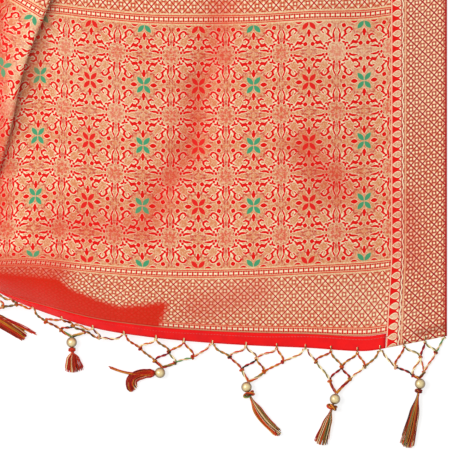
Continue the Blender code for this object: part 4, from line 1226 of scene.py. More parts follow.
def joined_piece(name, meshes, redness):
    """One object from several meshes laid in the view's frame."""
    shape = bmesh.new()
    for mesh in meshes:
        shape.from_mesh(mesh)
    bmesh.ops.translate(shape, verts=shape.verts, vec=SHIFT.tolist())
    whole = bpy.data.meshes.new(name)
    shape.to_mesh(whole)
    shape.free()
    whole.materials.append(meshes[0].materials[0])
    redder = whole.attributes.new("redness", "FLOAT", "POINT")
    redder.data.foreach_set("value", [redness] * len(whole.vertices))
    for mesh in meshes:
        bpy.data.meshes.remove(mesh)
    made = bpy.data.objects.new(name, whole)
    bpy.context.scene.collection.objects.link(made)
    return made


def build_net(tree, number, material, chance):
    """One knotted net: twisted cords, tied knots and the loops that hold it to the hem."""
    cords, doubled, knots, loops = net_paths(number, chance)
    meshes = [
        laid_cords(tree, cords, chance, material, SINGLE_CORD),
        laid_cords(tree, doubled, chance, material, DOUBLED_CORD),
        laid_cords(tree, knots, chance, material, KNOT_CORD),
        laid_cords(tree, loops, chance, material, KNOT_CORD, own_colour=PALE_THREAD),
    ]
    return joined_piece(f"cords_{number + 1:02d}", meshes, NET_REDNESS)


def build_stitches(tree, material, chance):
    """The running stitches that hold the turned hem."""
    paths = []
    seam = CLOTH_WIDTH - 2 * BORDER_WIDTH - 2 * STITCH_MARGIN
    for number in range(int(seam / STITCH_PITCH)):
        u = BORDER_WIDTH + STITCH_MARGIN + number * STITCH_PITCH
        v = STITCH_LINE_V + sum(reach * math.sin(u / length) for reach, length in STITCH_WANDER)
        ends = [hem_point(u + along_it, v) for along_it in (0.0, STITCH_LENGTH / 2, STITCH_LENGTH)]
        lifted = [np.array([0.0, 0.0, HEM_TOP + rise]) for rise in (0.0, STITCH_HEIGHT, 0.0)]
        paths.append(np.array([end + lift for end, lift in zip(ends, lifted)]))
    made = laid_cords(tree, paths, chance, material, SEWING_THREAD, own_colour=PALE_THREAD)
    return joined_piece("hem_stitches", [made], 0.0)


def build_tassel(tree, number, material, chance):
    """One tassel: a tied collar and loose threads."""
    threads, collar, redness = tassel_paths(number, chance)
    meshes = [
        laid_cords(tree, threads, chance, material, LOOSE_THREAD),
        laid_cords(tree, [collar], chance, material, COLLAR_CORD),
    ]
    return joined_piece(f"threads_{number + 1:02d}", meshes, redness)


def build_bead(number):
    """One turned bead with a hole along its cord."""
    points = fringe_group(number)[1]
    axis = tassel_axis(points, 0.0)[1]
    side = np.array([-axis[1], axis[0], 0.0])
    up = np.array([0.0, 0.0, 1.0])
    opening = math.asin(BEAD_HOLE / BEAD_RADIUS)
    profile = []
    for ring in range(BEAD_RINGS + 1):
        angle = opening + (math.pi - 2 * opening) * ring / BEAD_RINGS
        profile.append((-BEAD_RADIUS * math.cos(angle), BEAD_RADIUS * math.sin(angle)))
    vertices, faces = [], []
    for along_axis, radius in profile:
        for step in range(BEAD_SEGMENTS):
            turn = 2 * math.pi * step / BEAD_SEGMENTS
            vertices.append(points["bead"] + axis * along_axis + side * radius * math.cos(turn)
                            + up * radius * math.sin(turn))
    rings = len(profile)
    for ring in range(rings):
        for step in range(BEAD_SEGMENTS):
            after, beyond = (step + 1) % BEAD_SEGMENTS, (ring + 1) % rings
            faces.append((ring * BEAD_SEGMENTS + step, ring * BEAD_SEGMENTS + after,
                          beyond * BEAD_SEGMENTS + after, beyond * BEAD_SEGMENTS + step))
    made = new_piece(f"turned_bead_{number + 1:02d}", vertices, faces, recalculate=True)
    # Painted shade: darker where the bead's surface lies low, toward its edge on the table
    height = np.array([vertex[2] for vertex in vertices])
    underside_shade = smooth((points["bead"][2] + BEAD_EDGE_HEIGHT - height) / BEAD_EDGE_EASE)
    made.data.attributes["painted_shade"].data.foreach_set("value", underside_shade)
    return made


def set_view():
    """The camera over the middle of the view, looking straight down."""
    camera = bpy.data.cameras.new("view")
    camera.sensor_width = SENSOR_WIDTH
    camera.lens = SENSOR_WIDTH * CAMERA_HEIGHT / VIEW_WIDTH
    camera.clip_end = CAMERA_REACH
    seen_from = bpy.data.objects.new("view", camera)
    seen_from.location = (SHIFT[0], SHIFT[1], CAMERA_HEIGHT)
    bpy.context.scene.collection.objects.link(seen_from)
    bpy.context.scene.camera = seen_from


def set_light():
    """Soft white light from all round, and a broad lamp above the left side of the view."""
    scene = bpy.context.scene
    scene.view_settings.view_transform = "Standard"
    world = bpy.data.worlds.new("studio")
    world.use_nodes = True
    sky = world.node_tree.nodes["Background"]
    sky.inputs["Color"].default_value = (1.0, 1.0, 1.0, 1.0)
    sky.inputs["Strength"].default_value = SKY_STRENGTH
    scene.world = world
    lamp = bpy.data.lights.new("window", "AREA")
    lamp.shape = "RECTANGLE"
    lamp.size, lamp.size_y = LAMP_SIZE, LAMP_SIZE
    lamp.energy = LAMP_POWER
    hung = bpy.data.objects.new("window", lamp)
    target = Vector((SHIFT[0], SHIFT[1], 0.0))
    hung.location = target + Vector(LAMP_PLACE)
    hung.rotation_euler = (target - hung.location).to_track_quat("-Z", "Y").to_euler()
    scene.collection.objects.link(hung)


def build_floor():
    """A plain white table under everything."""
    mesh = bpy.data.meshes.new("table_top")
    corners = ((-1, -1), (1, -1), (1, 1), (-1, 1))
    mesh.from_pydata([(x * TABLE_HALF, y * TABLE_HALF, TABLE_LEVEL) for x, y in corners], [], [(0, 1, 2, 3)])
    white = bpy.data.materials.new("white_table")
    white.use_nodes = True
    shader = white.node_tree.nodes["Principled BSDF"]
    shader.inputs["Base Color"].default_value = (TABLE_GREY, TABLE_GREY, TABLE_GREY, 1.0)
    shader.inputs["Roughness"].default_value = 0.9
    shader.inputs["Emission Color"].default_value = (1.0, 1.0, 1.0, 1.0)
    shader.inputs["Emission Strength"].default_value = TABLE_GLOW
    mesh.materials.append(white)
    floor = bpy.data.objects.new("table_top", mesh)
    bpy.context.scene.collection.objects.link(floor)
    floor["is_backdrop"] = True


# Colours as the eye reads them, from 0 to 255
COLOURS = {
    "thread_gold": (214, 144, 44),
    "thread_orange": (214, 66, 24),
    "thread_red": (180, 10, 34),
    "thread_crimson": (124, 8, 32),
    "thread_olive": (44, 44, 24),
    "thread_green": (92, 146, 84),
    "thread_straw": (255, 236, 180),
    "sewing_pink": (214, 96, 88),
    "thread_fire": (188, 42, 16),
    "bead_gilt": (250, 230, 172),
    "bead_underside_shade": (112, 72, 30),
    "zari_shaded": (138, 44, 16),
    "bead_shade": (190, 152, 96),
    "zari": (224, 141, 93),
    "zari_deep": (222, 120, 84),
    "zari_pale": (236, 190, 140),
    "zari_cream_and_highlight": (255, 242, 202),
    "silk": (230, 12, 6),
    "silk_fleck": (170, 66, 10),
    "sheen_shade_red": (218, 48, 26),
    "silk_unlit": (224, 28, 0),
    "silk_dark": (178, 10, 26),
    "outline": (206, 56, 42),
    "rosette": (224, 88, 62),
    "lattice_red": (202, 22, 20),
    "zari_drop": (224, 158, 122),
    "green": (72, 158, 112),
    "petal_red": (232, 34, 28),
    "hem_red": (250, 20, 22),
}


def colour(name):
    """A colour of the table in the light values that a shader takes."""
    def linear(part):
        """One channel of the colour."""
        part = part / 255.0
        return part / 12.92 if part <= 0.04045 else ((part + 0.055) / 1.055) ** 2.4
    return tuple(linear(part) for part in COLOURS[name]) + (1.0,)


# How softly one colour of the weave usually meets the next, in millimetres
SOFT_EDGE = 0.3


class Sum:
    """A number that a material works out at each point: arithmetic on it adds Math nodes."""

    def __init__(self, tree, socket):
        self.tree, self.socket = tree, socket

    def math(self, operation, *others, clamp=False):
        """The result of a Math node on this number and others."""
        node = self.tree.nodes.new("ShaderNodeMath")
        node.operation, node.use_clamp = operation, clamp
        for place, value in enumerate((self, *others)):
            if isinstance(value, Sum):
                self.tree.links.new(value.socket, node.inputs[place])
            else:
                node.inputs[place].default_value = value
        return Sum(self.tree, node.outputs[0])

    def __add__(self, other):
        return self.math("ADD", other)

    def __sub__(self, other):
        return self.math("SUBTRACT", other)

    def __mul__(self, other):
        return self.math("MULTIPLY", other)

    def __rsub__(self, other):
        return (self * -1.0) + other

    def size(self):
        """The number without its sign."""
        return self.math("ABSOLUTE")

    def least(self, other):
        """The smaller of two numbers."""
        return self.math("MINIMUM", other)

    def most(self, other):
        """The larger of two numbers."""
        return self.math("MAXIMUM", other)

    def mirrored(self, step):
        """Runs up to step and back again, over and over."""
        return self.math("PINGPONG", step)

    def repeated(self, step):
        """The distance from the nearest whole number of steps, with its sign."""
        return self.math("WRAP", step / 2, -step / 2)

    def above(self, edge, softness=SOFT_EDGE):
        """1 where the number is over an edge, 0 under it, and soft between."""
        return self.math("MULTIPLY_ADD", 1.0 / softness, 0.5 - edge / softness, clamp=True)

    def between(self, low, high, softness=SOFT_EDGE):
        """1 where the number lies between two edges, 0 beyond them, and soft at both."""
        middle, half = (low + high) / 2, (high - low) / 2
        return (half - (self - middle).size()).above(0.0, softness)


class Finish:
    """A material under construction: its cloth place, and colours laid one over another."""

    def __init__(self, name):
        self.material = bpy.data.materials.new(name)
        self.material.use_nodes = True
        self.tree = self.material.node_tree
        self.shader = self.tree.nodes["Principled BSDF"]

    def cloth_place(self):
        """u and v in millimetres, from the piece's UV map."""
        node = self.tree.nodes.new("ShaderNodeUVMap")
        node.uv_map = "cloth"
        parts = self.tree.nodes.new("ShaderNodeSeparateXYZ")
        self.tree.links.new(node.outputs["UV"], parts.inputs[0])
        return (Sum(self.tree, parts.outputs[0]) * (1.0 / MILLIMETRE),
                Sum(self.tree, parts.outputs[1]) * (1.0 / MILLIMETRE))

    def attribute(self, name):
        """A number stored on the mesh."""
        node = self.tree.nodes.new("ShaderNodeAttribute")
        node.attribute_name = name
        return Sum(self.tree, node.outputs["Fac"])

    def noise(self, scale, detail=2.0):
        """Soft random values from 0 to 1 over the piece, so many to the metre."""
        place = self.tree.nodes.new("ShaderNodeTexCoord")
        node = self.tree.nodes.new("ShaderNodeTexNoise")
        node.inputs["Scale"].default_value = scale
        node.inputs["Detail"].default_value = detail
        self.tree.links.new(place.outputs["Object"], node.inputs["Vector"])
        return Sum(self.tree, node.outputs["Fac"])

    def lay_over(self, below, above, share):
        """One colour laid over another by a share from 0 to 1. Each is a name or a socket."""
        node = self.tree.nodes.new("ShaderNodeMix")
        node.data_type = "RGBA"
        for socket, value in ((node.inputs[6], below), (node.inputs[7], above)):
            if isinstance(value, str):
                socket.default_value = colour(value)
            else:
                self.tree.links.new(value, socket)
        self.tree.links.new(share.socket, node.inputs[0])
        return node.outputs[2]

    def joined(self, x, y):
        """Two numbers as the first two of a vector."""
        node = self.tree.nodes.new("ShaderNodeCombineXYZ")
        self.tree.links.new(x.socket, node.inputs[0])
        self.tree.links.new(y.socket, node.inputs[1])
        return node.outputs[0]

    def paint(self, base, roughness, specular=None):
        """Set the colour, which may be a socket, and how rough and shiny the surface is."""
        if isinstance(base, str):
            self.shader.inputs["Base Color"].default_value = colour(base)
        else:
            self.tree.links.new(base, self.shader.inputs["Base Color"])
        if isinstance(roughness, Sum):
            self.tree.links.new(roughness.socket, self.shader.inputs["Roughness"])
        else:
            self.shader.inputs["Roughness"].default_value = roughness
        if specular is not None:
            self.shader.inputs["Specular IOR Level"].default_value = specular

    def raise_threads(self, height, strength, distance):
        """Low relief of the woven threads."""
        bump = self.tree.nodes.new("ShaderNodeBump")
        bump.inputs["Strength"].default_value = strength
        bump.inputs["Distance"].default_value = distance
        self.tree.links.new(height.socket, bump.inputs["Height"])
        self.tree.links.new(bump.outputs["Normal"], self.shader.inputs["Normal"])


def leaf_group():
    """A node group: how deep a point lies in a pointed leaf, which may be bent to a crescent."""
    found = bpy.data.node_groups.get("woven_leaf")
    if found:
        return found
    group = bpy.data.node_groups.new("woven_leaf", "ShaderNodeTree")
    kinds = (("Place", "NodeSocketVector"), ("Middle", "NodeSocketVector"), ("Along", "NodeSocketVector"),
             ("Across", "NodeSocketVector"), ("Bend", "NodeSocketFloat"), ("Half Width", "NodeSocketFloat"))
    for name, kind in kinds:
        group.interface.new_socket(name, in_out="INPUT", socket_type=kind)
    group.interface.new_socket("Depth", in_out="OUTPUT", socket_type="NodeSocketFloat")
    given = group.nodes.new("NodeGroupInput")
    result = group.nodes.new("NodeGroupOutput")
    offset = group.nodes.new("ShaderNodeVectorMath")
    offset.operation = "SUBTRACT"
    group.links.new(given.outputs["Place"], offset.inputs[0])
    group.links.new(given.outputs["Middle"], offset.inputs[1])

    def share(name):
        """How far the point reaches along one of the leaf's two ways."""
        node = group.nodes.new("ShaderNodeVectorMath")
        node.operation = "DOT_PRODUCT"
        group.links.new(offset.outputs[0], node.inputs[0])
        group.links.new(given.outputs[name], node.inputs[1])
        return Sum(group, node.outputs["Value"])

    reach, side = share("Along"), share("Across")
    fullness = 1.0 - reach * reach
    bend = Sum(group, given.outputs["Bend"])
    depth = fullness - (side - fullness * bend).size()
    depth = depth * Sum(group, given.outputs["Half Width"])
    group.links.new(depth.socket, result.inputs["Depth"])
    return group


def woven_leaves(finish, place, rows):
    """How deep a point lies in the nearest of several leaves, in millimetres; outside is below 0."""
    deepest = None
    for a, b, turn, half_length, half_width, bend in rows:
        node = finish.tree.nodes.new("ShaderNodeGroup")
        node.node_tree = leaf_group()
        angle = math.radians(turn)
        finish.tree.links.new(place, node.inputs["Place"])
        node.inputs["Middle"].default_value = (a, b, 0.0)
        ahead, beside = math.cos(angle), math.sin(angle)
        node.inputs["Along"].default_value = (ahead / half_length, beside / half_length, 0.0)
        node.inputs["Across"].default_value = (-beside / half_width, ahead / half_width, 0.0)
        node.inputs["Bend"].default_value = bend / half_width
        node.inputs["Half Width"].default_value = half_width
        depth = Sum(finish.tree, node.outputs["Depth"])
        deepest = depth if deepest is None else deepest.most(depth)
    return deepest


# The flower ground. A quarter of the repeat is drawn, from the flower's middle, and mirrored. Each leaf has
# its middle across and up, its turn in degrees, half its length and width, and how far it bends.
REPEAT_ACROSS = 56.0
REPEAT_UP = 61.9
FIRST_FLOWER_U = 86.0
FIRST_FLOWER_V = 91.0
PETAL = ((3.6, 4.3, 50.5, 5.0, 2.3, 0.0),)
RED_LEAVES = (
    (10.2, 0.0, 0.0, 3.7, 2.1, 0.0),
    (0.0, 11.2, 90.0, 3.6, 1.8, 0.0),
    (0.0, 14.2, 90.0, 1.8, 1.2, 0.0),
    (3.7, 23.0, 80.0, 2.4, 2.1, 0.0),
    (20.7, 4.4, 70.0, 2.5, 2.2, 0.0),
    (9.5, 21.7, -8.0, 3.8, 1.5, 0.0),
    (11.5, 20.9, 72.0, 2.0, 0.95, 0.0),
    (12.7, 22.8, 44.0, 2.4, 0.85, 0.0),
    (8.2, 22.5, 75.0, 1.5, 0.9, 0.0),
    (7.1, 20.2, 55.0, 1.9, 0.8, 0.0),
    (5.4, 17.2, 80.0, 2.9, 1.05, 0.4),
    (6.9, 14.9, -38.0, 2.3, 1.05, 0.0),
    (9.1, 15.1, 22.0, 1.9, 0.7, 0.0),
    (11.3, 27.5, 5.0, 4.8, 1.05, -0.6),
    (14.2, 28.2, 30.0, 1.7, 0.8, 0.0),
    (17.8, 28.1, 80.0, 1.8, 1.25, 0.0),
    (15.7, 25.4, 60.0, 1.6, 1.25, 0.0),
    (19.3, 23.7, 88.0, 2.1, 0.95, 0.0),
    (20.9, 21.5, -15.0, 1.9, 0.95, 0.0),
    (17.3, 22.3, -25.0, 1.6, 0.85, 0.0),
    (25.3, 19.9, 72.0, 2.0, 1.2, 0.0),
    (22.6, 17.3, -35.0, 1.8, 1.15, 0.0),
    (20.2, 18.7, 0.0, 1.2, 0.6, 0.0),
    (25.1, 14.7, 82.0, 4.0, 1.05, 0.3),
    (25.6, 9.4, -68.0, 3.1, 0.7, 0.0),
    (20.3, 14.8, 38.0, 2.5, 0.9, 0.0),
    (18.8, 13.2, 10.0, 1.8, 0.95, 0.0),
    (19.4, 11.0, 96.0, 2.8, 1.05, 0.0),
    (20.0, 9.8, 20.0, 1.4, 0.85, 0.0),
    (18.5, 8.7, 55.0, 1.8, 0.95, 0.0),
    (12.9, 8.3, -50.0, 2.0, 1.05, 0.0),
    (14.8, 6.8, -8.0, 2.7, 0.9, -0.3),
    (17.3, 7.3, 28.0, 2.2, 0.85, 0.0),
    (14.0, 11.2, 48.0, 1.8, 0.5, 0.0),
)
OUTLINE_LEAVES = (
    (3.1, 13.6, 62.0, 2.6, 0.7, 0.0),
    (6.6, 29.4, -35.0, 1.7, 0.9, 0.0),
    (3.8, 28.8, 18.0, 3.0, 0.6, 0.4),
    (0.0, 25.3, 90.0, 1.5, 1.0, 0.0),
    (7.3, 11.6, 20.0, 1.4, 0.65, 0.0),
    (9.2, 12.0, -12.0, 1.7, 0.5, 0.3),
    (10.6, 9.7, 100.0, 2.5, 0.65, 0.0),
    (12.7, 3.9, 10.0, 2.1, 0.65, 0.0),
    (26.6, 4.6, 80.0, 3.1, 0.65, 0.0),
    (23.6, 0.7, 60.0, 1.6, 0.6, 0.0),
    (20.3, 27.3, 80.0, 1.2, 0.6, 0.0),
    (24.5, 22.9, -20.0, 1.3, 0.55, 0.0),
    (7.2, 26.6, 40.0, 1.2, 0.4, 0.0),
    (27.2, 17.4, 86.0, 2.4, 0.5, 0.0),
)
CURLS = (
    (7.2, 17.6, 90.0, 2.1, 0.85, 0.5),
    (9.3, 19.0, -10.0, 1.5, 0.6, 0.3),
    (14.8, 9.3, 90.0, 1.7, 0.85, 0.5),
    (16.6, 8.7, 40.0, 1.9, 0.7, -0.3),
    (17.7, 24.7, 75.0, 1.6, 0.9, 0.0),
    (22.2, 19.7, 0.0, 1.6, 0.8, 0.0),
    (6.4, 23.1, 90.0, 1.3, 0.9, 0.0),
    (16.1, 27.2, 60.0, 1.1, 0.9, 0.0),
    (24.4, 17.8, 90.0, 1.0, 0.8, 0.0),
    (12.6, 24.9, 40.0, 1.9, 0.8, 0.0),
    (14.9, 22.6, 95.0, 1.5, 0.7, 0.0),
    (20.5, 16.8, 0.0, 1.6, 0.7, 0.0),
    (22.2, 13.4, 75.0, 2.8, 0.8, 0.0),
)
ROSETTE_PETALS = (
    (23.9, 30.95, 0.0, 3.1, 1.8, 0.0),
    (28.0, 26.6, 90.0, 3.3, 1.8, 0.0),
    (24.6, 27.5, 46.0, 2.2, 1.6, 0.0),
)
ROSETTE_RIM = (
    (28.0, 24.8, 90.0, 3.0, 2.4, 0.0),
    (21.9, 30.95, 0.0, 3.0, 2.4, 0.0),
    (23.6, 26.4, 46.0, 3.2, 2.4, 0.0),
)


def flower_ground(finish, u, v):
    """The flowered field: red silk between leaves of gold thread."""
    across = u - FIRST_FLOWER_U
    a, b = across.mirrored(REPEAT_ACROSS / 2), (v - FIRST_FLOWER_V).mirrored(REPEAT_UP / 2)
    place = finish.joined(a, b)
    red = woven_leaves(finish, place, RED_LEAVES)
    ground = finish.lay_over("zari", "zari_cream_and_highlight", red.above(-0.85, 0.5) * 0.85)
    rim = woven_leaves(finish, place, ROSETTE_RIM).between(0.0, 0.75)
    ground = finish.lay_over(ground, "zari_cream_and_highlight", rim * 0.3)
    ground = finish.lay_over(ground, "zari_cream_and_highlight", woven_leaves(finish, place, CURLS).above(0.0, 0.8) * 0.85)
    ground = finish.lay_over(ground, "outline", woven_leaves(finish, place, OUTLINE_LEAVES).above(-0.3))
    ground = finish.lay_over(ground, "rosette", woven_leaves(finish, place, ROSETTE_PETALS).above(0.0, 0.5))
    silk = red.above(-0.22, 0.28)
    ground = finish.lay_over(ground, "silk", silk)
    petal = woven_leaves(finish, place, PETAL)
    column = (across + REPEAT_ACROSS / 2).math("FLOORED_MODULO", 2 * REPEAT_ACROSS)
    is_red = column.above(REPEAT_ACROSS, 0.1)
    petal_colour = finish.lay_over("green", "petal_red", is_red)
    ground = finish.lay_over(ground, "zari_pale", petal.above(-0.55) * 0.5)
    ground = finish.lay_over(ground, petal_colour, petal.above(-0.1))
    return ground, (1.0 - silk) * (1.0 - petal.above(0.0, 0.35))


# Lattices of small diamonds: the first one across and the step, the first one up and the step
BAND_LATTICE = (79.3, 12.78, 72.5, 14.7)
TOP_BAND_LATTICE = (79.3, 12.78, 357.5, 14.7)
BORDER_LATTICE = (25.4, 12.0, 100.0, 12.8)
# The small ring at each crossing, its light dot and spokes, and the light field between, in millimetres
RING_STARTS = 1.1
RING_ENDS = 1.2
DIAMOND_LIGHT = 2.4
DIAMOND_DOT = 0.8
SPOKE_STARTS = 1.5
SPOKE_HALF = 0.45

# The bands of the pallu, from where to where up the cloth
LATTICE_BANDS = ((24.0, 79.0, BAND_LATTICE), (351.0, 405.0, TOP_BAND_LATTICE))
GUARD_BANDS = ((15.0, 24.0), (79.0, 91.0), (338.6, 351.0), (405.0, 415.2))
PALE_HEM_LINE = (15.3, 16.3)


def lattice(finish, x, y, spacing, line_colour, line_width, spoke_share):
    """Small diamonds of gold thread, each with a square ring in it. Gives the colour and where it is gold."""
    first_across, step, first_up, step_up = spacing
    x, y = x - first_across, (y - first_up) * (step / step_up)
    falling, rising = (x + y).repeated(step), (x - y).repeated(step)
    line = (falling.size().most(rising.size()) - (step / 2 - line_width)).above(0.0, 0.35)
    aside, above = (falling + rising).size() * 0.5, (falling - rising).size() * 0.5
    from_middle = aside.most(above)
    ring = from_middle.between(RING_STARTS, RING_ENDS + line_width)
    tip = aside.most(above) - aside.least(above)
    ground = finish.lay_over("zari", "zari_cream_and_highlight", tip.above(DIAMOND_LIGHT, 0.7) * 0.85)
    ground = finish.lay_over(ground, "zari_cream_and_highlight", 1.0 - from_middle.above(DIAMOND_DOT, 0.4))
    spoke = (1.0 - tip.above(SPOKE_HALF, 0.35)) * from_middle.above(SPOKE_STARTS, 0.4)
    drawn = line.most(ring * 0.95).most(spoke * spoke_share)
    return finish.lay_over(ground, line_colour, drawn), 1.0 - drawn


GUARD_PITCH = 5.13
GUARD_BEAD = (1.75, 1.1)
GUARD_TICK = 0.85
GUARD_ROW_HALF = 1.3
GUARD_TICKS = (1.2, 2.6)
GUARD_SIDE_LINE = (3.35, 4.35)


def guard(finish, u, from_middle):
    """A row of pale square beads between two rows of red ticks, and a fine line along each side."""
    away = from_middle.size()
    along = u.repeated(GUARD_PITCH).size()
    bead = (1.0 - along.above(GUARD_BEAD[0])) * (1.0 - away.above(GUARD_BEAD[1]))
    in_row = 1.0 - away.above(GUARD_ROW_HALF)
    ground = finish.lay_over("zari_pale", "silk", in_row)
    ground = finish.lay_over(ground, "zari_cream_and_highlight", bead)
    ticks = away.between(*GUARD_TICKS)
    tick = (1.0 - u.repeated(GUARD_PITCH / 2).size().above(GUARD_TICK)) * ticks
    ground = finish.lay_over(ground, "silk", ticks * 0.5)
    ground = finish.lay_over(ground, "lattice_red", tick)
    side_line = away.between(*GUARD_SIDE_LINE)
    ground = finish.lay_over(ground, "silk", side_line)
    return ground, bead.most((1.0 - ticks) * (1.0 - in_row) * (1.0 - side_line))


# The border, measured in from the selvedge: a red strip, a dotted line, the lattice, fine lines, a rope and
# a row of drops with a nib between each two
SELVEDGE_STRIP = 2.1
DOTTED_LINE = (3.0, 3.9)
DOT_PITCH = 1.7
DOT_GAP_HALF = 0.35
LATTICE_ENDS = 42.0
FINE_LINES = ((42.0, 42.7), (43.5, 44.2))
ROPE_GROUND = (44.3, 47.5)
ROPE = (45.1, 46.1)
ROPE_SWING = 0.55
DROPS_START = 47.5
DROP_PITCH = 10.35
DROP_MIDDLE = 52.2
DROP_HALF_LENGTH = 4.5
DROP_HALF_WIDTH = 3.15
DROP_POINT = 0.9
DROP_RIM = 0.75
NIB_HALF_WIDTH = 1.7
NIB_STARTS = 47.6
NIB_TAPER = 0.75
LAST_LINE = (56.9, 57.7)


def border(finish, edge, v):
    """The woven border, edge being how far in from the selvedge."""
    ground, gold = lattice(finish, edge, v, BORDER_LATTICE, "silk_dark", 1.0, 0.7)
    ground = finish.lay_over(ground, "zari_pale", edge.above(LATTICE_ENDS))
    first_line, second_line = (edge.between(*line) for line in FINE_LINES)
    ground = finish.lay_over(ground, "outline", first_line.most(second_line) * 0.8)
    swing = (v * (2 * math.pi / DROP_PITCH)).math("SINE") * ROPE_SWING
    cable = (edge - swing).between(*ROPE, 0.35)
    ground = finish.lay_over(ground, "silk_dark", edge.between(*ROPE_GROUND))
    ground = finish.lay_over(ground, "zari_cream_and_highlight", cable)
    dots = v.repeated(DOT_PITCH).size().above(DOT_GAP_HALF, 0.2)
    ground = finish.lay_over(ground, "silk_dark", edge.between(*DOTTED_LINE) * dots)
    ground = finish.lay_over(ground, "lattice_red", 1.0 - edge.above(SELVEDGE_STRIP))
    beyond = edge.above(DROPS_START)
    ground = finish.lay_over(ground, "silk", beyond)
    from_drop = v.repeated(DROP_PITCH)
    reach = (edge - DROP_MIDDLE) * (1.0 / DROP_HALF_LENGTH)
    inside = (1.0 - reach * reach).most(0.0) * (1.0 - reach * DROP_POINT).most(0.0)
    drop = inside.math("SQRT") * DROP_HALF_WIDTH - from_drop.size()
    between = (v + DROP_PITCH / 2).repeated(DROP_PITCH).size()
    nib = (NIB_HALF_WIDTH - between) - (edge - NIB_STARTS) * NIB_TAPER
    pale = drop.above(0.0, 0.35).most(nib.above(0.0, 0.35) * beyond * 0.9)
    ground = finish.lay_over(ground, "zari_cream_and_highlight", pale)
    ground = finish.lay_over(ground, "zari_drop", drop.above(DROP_RIM, 0.45))
    ground = finish.lay_over(ground, "zari_cream_and_highlight", edge.between(*LAST_LINE) * 0.8)
    gold = gold * (1.0 - beyond) + drop.above(0.0, 0.4) * beyond
    return ground, gold.most(cable) * edge.above(SELVEDGE_STRIP)


def woven_bands(finish, u, v, patterned):
    """All the weave of the cloth: borders, guards, lattice bands and the flower ground or plain silk."""
    edge = u.least(CLOTH_WIDTH - u)
    border_colour, border_gold = border(finish, edge, v)
    in_border = 1.0 - edge.above(BORDER_WIDTH)
    if not patterned:
        middle = finish.lay_over("hem_red", "silk", in_border)
        return finish.lay_over(middle, border_colour, in_border), border_gold * in_border
    ground, gold = flower_ground(finish, u, v)
    for low, high, spacing in LATTICE_BANDS:
        share = v.between(low, high)
        band_colour, band_gold = lattice(finish, u, v, spacing, "lattice_red", 0.85, 0.5)
        ground = finish.lay_over(ground, band_colour, share)
        gold = gold * (1.0 - share) + band_gold * share
    for low, high in GUARD_BANDS:
        share = v.between(low, high)
        guard_colour, guard_gold = guard(finish, u, v - (low + high) / 2)
        ground = finish.lay_over(ground, guard_colour, share)
        gold = gold * (1.0 - share) + guard_gold * share
    ground = finish.lay_over(ground, border_colour, in_border)
    return ground, gold * (1.0 - in_border) + border_gold * in_border


# How fine the random grain in the gold thread, the flecks in the unlit patch and the slubs in the plain
# silk are
GRAIN_SCALE = 620.0
FLECK_SCALE = 900.0
SLUB_SCALE = 90.0
# How much of its own colour each painted highlight, painted shade and painted unlit patch of the cloth takes
# on
HIGHLIGHT_LIFT = 0.35
SHADE_DEPTH = 0.58
UNLIT_DEPTH = 0.98
# The silk's surface, and half of the space between two woven threads, in millimetres
SILK_ROUGHNESS = 0.5
SILK_SPECULAR = 0.14
YARN_HALF_PITCH = 0.35


def brocade(name, patterned):
    """Gold thread on red silk."""
    finish = Finish(name)
    u, v = finish.cloth_place()
    ground, gold = woven_bands(finish, u, v, patterned)
    grain = finish.noise(GRAIN_SCALE, 1.0)
    ground = finish.lay_over(ground, "zari_cream_and_highlight", grain.above(0.54, 0.14) * gold * 0.3)
    ground = finish.lay_over(ground, "zari_deep", (1.0 - grain.above(0.4, 0.14)) * gold * 0.45)
    # Painted shade and painted highlight where the gold thread turns from the light or to it, painted shade
    # beside the fold and the painted unlit patch
    painted_shade = finish.attribute("painted_shade")
    unlit = finish.attribute("unlit")
    ground = finish.lay_over(ground, "sheen_shade_red", painted_shade * (gold * 0.5 + 0.1))
    lit = 1.0 - unlit
    ground = finish.lay_over(ground, "zari_cream_and_highlight", finish.attribute("painted_highlight") * gold * lit * HIGHLIGHT_LIFT)
    ground = finish.lay_over(ground, "zari_shaded", finish.attribute("shade") * SHADE_DEPTH)
    flecks = finish.noise(FLECK_SCALE, 1.0).above(0.6, 0.3)
    flecked = finish.lay_over("silk_unlit", "silk_fleck", flecks * 0.4)
    ground = finish.lay_over(ground, flecked, unlit * UNLIT_DEPTH)
    inwards = u.least(CLOTH_WIDTH - u).above(BORDER_WIDTH)
    if patterned:
        ground = finish.lay_over(ground, "zari_pale", v.between(*PALE_HEM_LINE) * inwards * 0.6)
    finish.shader.inputs["Metallic"].default_value = 0.0
    finish.paint(ground, SILK_ROUGHNESS - gold * 0.1, SILK_SPECULAR)
    threads = (u.mirrored(YARN_HALF_PITCH) + v.mirrored(YARN_HALF_PITCH)) * 0.6
    finish.raise_threads(gold + threads, 0.35, 0.0003)
    return finish.material


# The colours of the fringe's threads, each from its share of them on
THREAD_COLOURS = (
    (0.16, "thread_orange"), (0.3, "thread_red"), (0.42, "thread_straw"), (0.54, "thread_olive"),
    (0.66, "thread_crimson"), (0.76, "thread_green"), (0.88, "thread_gold"),
)


def thread_finish():
    """Shiny fringe thread, each thread with a colour of its own."""
    finish = Finish("fringe_thread_mixed")
    own = finish.attribute("own")
    thread = finish.attribute("thread")
    share = (own * 7.13 + thread * 0.29 + 0.05).math("FRACT")
    mixed = "thread_gold"
    for start, shade in THREAD_COLOURS:
        mixed = finish.lay_over(mixed, shade, share.above(start, 0.02))
    fire = finish.attribute("redness") * (own * 3.7 + thread * 0.41).math("FRACT").above(0.35, 0.1)
    mixed = finish.lay_over(mixed, "thread_fire", fire)
    finish.paint(mixed, 0.42, 0.2)
    return finish.material


def hem_thread_finish():
    """Dusty pink sewing thread."""
    finish = Finish("hem_sewing_thread")
    finish.paint("sewing_pink", 0.6)
    return finish.material


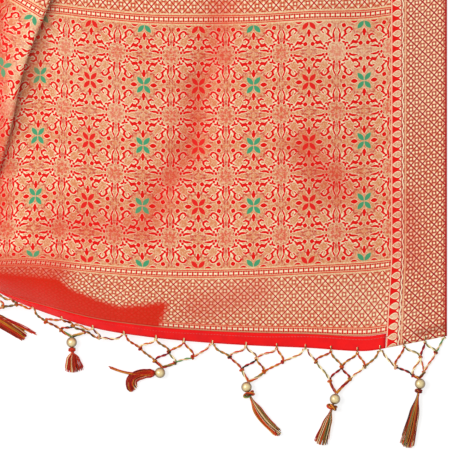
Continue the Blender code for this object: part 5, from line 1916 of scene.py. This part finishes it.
def bead_finish():
    """Pearly gilt lacquer, a little mottled, with painted shade darker round the bead's lower edge."""
    finish = Finish("gilt_bead_lacquer")
    mottled = finish.noise(420.0, 2.0).above(0.5, 0.35)
    base = finish.lay_over("bead_gilt", "bead_shade", mottled * 0.35)
    base = finish.lay_over(base, "bead_underside_shade", finish.attribute("painted_shade") * 0.9)
    finish.paint(base, 0.3)
    finish.shader.inputs["Metallic"].default_value = 0.2
    finish.shader.inputs["Coat Weight"].default_value = 0.5
    finish.shader.inputs["Coat Roughness"].default_value = 0.12
    return finish.material


def red_silk(name):
    """Plain red silk, its threads just seen, with soft slubs along the weft."""
    finish = Finish(name)
    u, v = finish.cloth_place()
    slub = finish.noise(SLUB_SCALE, 2.0)
    base = finish.lay_over("hem_red", "silk_dark", (1.0 - slub.above(0.46, 0.2)) * 0.22)
    threads = (u.mirrored(YARN_HALF_PITCH) + v.mirrored(YARN_HALF_PITCH)) * 1.4
    base = finish.lay_over(base, "petal_red", threads.above(0.5, 0.4) * 0.3)
    finish.paint(base, SILK_ROUGHNESS, SILK_SPECULAR)
    finish.raise_threads(threads, 0.3, 0.0002)
    return finish.material


# Build each piece, hide the part that it takes the place of, give it its finish and hang it from the root
set_view()
set_light()
build_floor()
pallu_cloth = build_pallu()
body_cloth = build_body_stretch()
hem_band = build_hem()
folded_length = build_folded_body()
gold = brocade("zari_brocade_weave", True)
bordered = brocade("bordered_silk_weave", False)
red = red_silk("red_silk_weave")
for piece, finish, node in ((pallu_cloth, gold, "pallu"), (body_cloth, bordered, "body_stretch"),
                            (hem_band, red, "pallu_hem"), (folded_length, red, "folded_body")):
    piece.data.materials.append(finish)
    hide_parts(node)
    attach(piece, "root")
chance = np.random.default_rng(11)
maker = cord_maker()
thread = thread_finish()
gilt = bead_finish()
fringe = []
for number in range(FRINGE_GROUPS):
    label = f"{number + 1:02d}"
    net = build_net(maker, number, thread, chance)
    tassel = build_tassel(maker, number, thread, chance)
    bead = build_bead(number)
    bead.data.materials.append(gilt)
    fringe += [net, tassel, bead]
    for piece, node, slot in ((net, f"net_{label}", "fringe_thread"), (bead, f"bead_{label}", "gilt_bead"),
                              (tassel, f"tassel_{label}", "fringe_thread")):
        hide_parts(node)
        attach(piece, "root")
stitches = build_stitches(maker, hem_thread_finish(), chance)
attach(stitches, "root")

str([[list(corner) for corner in box] for box in (cad_box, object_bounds())])
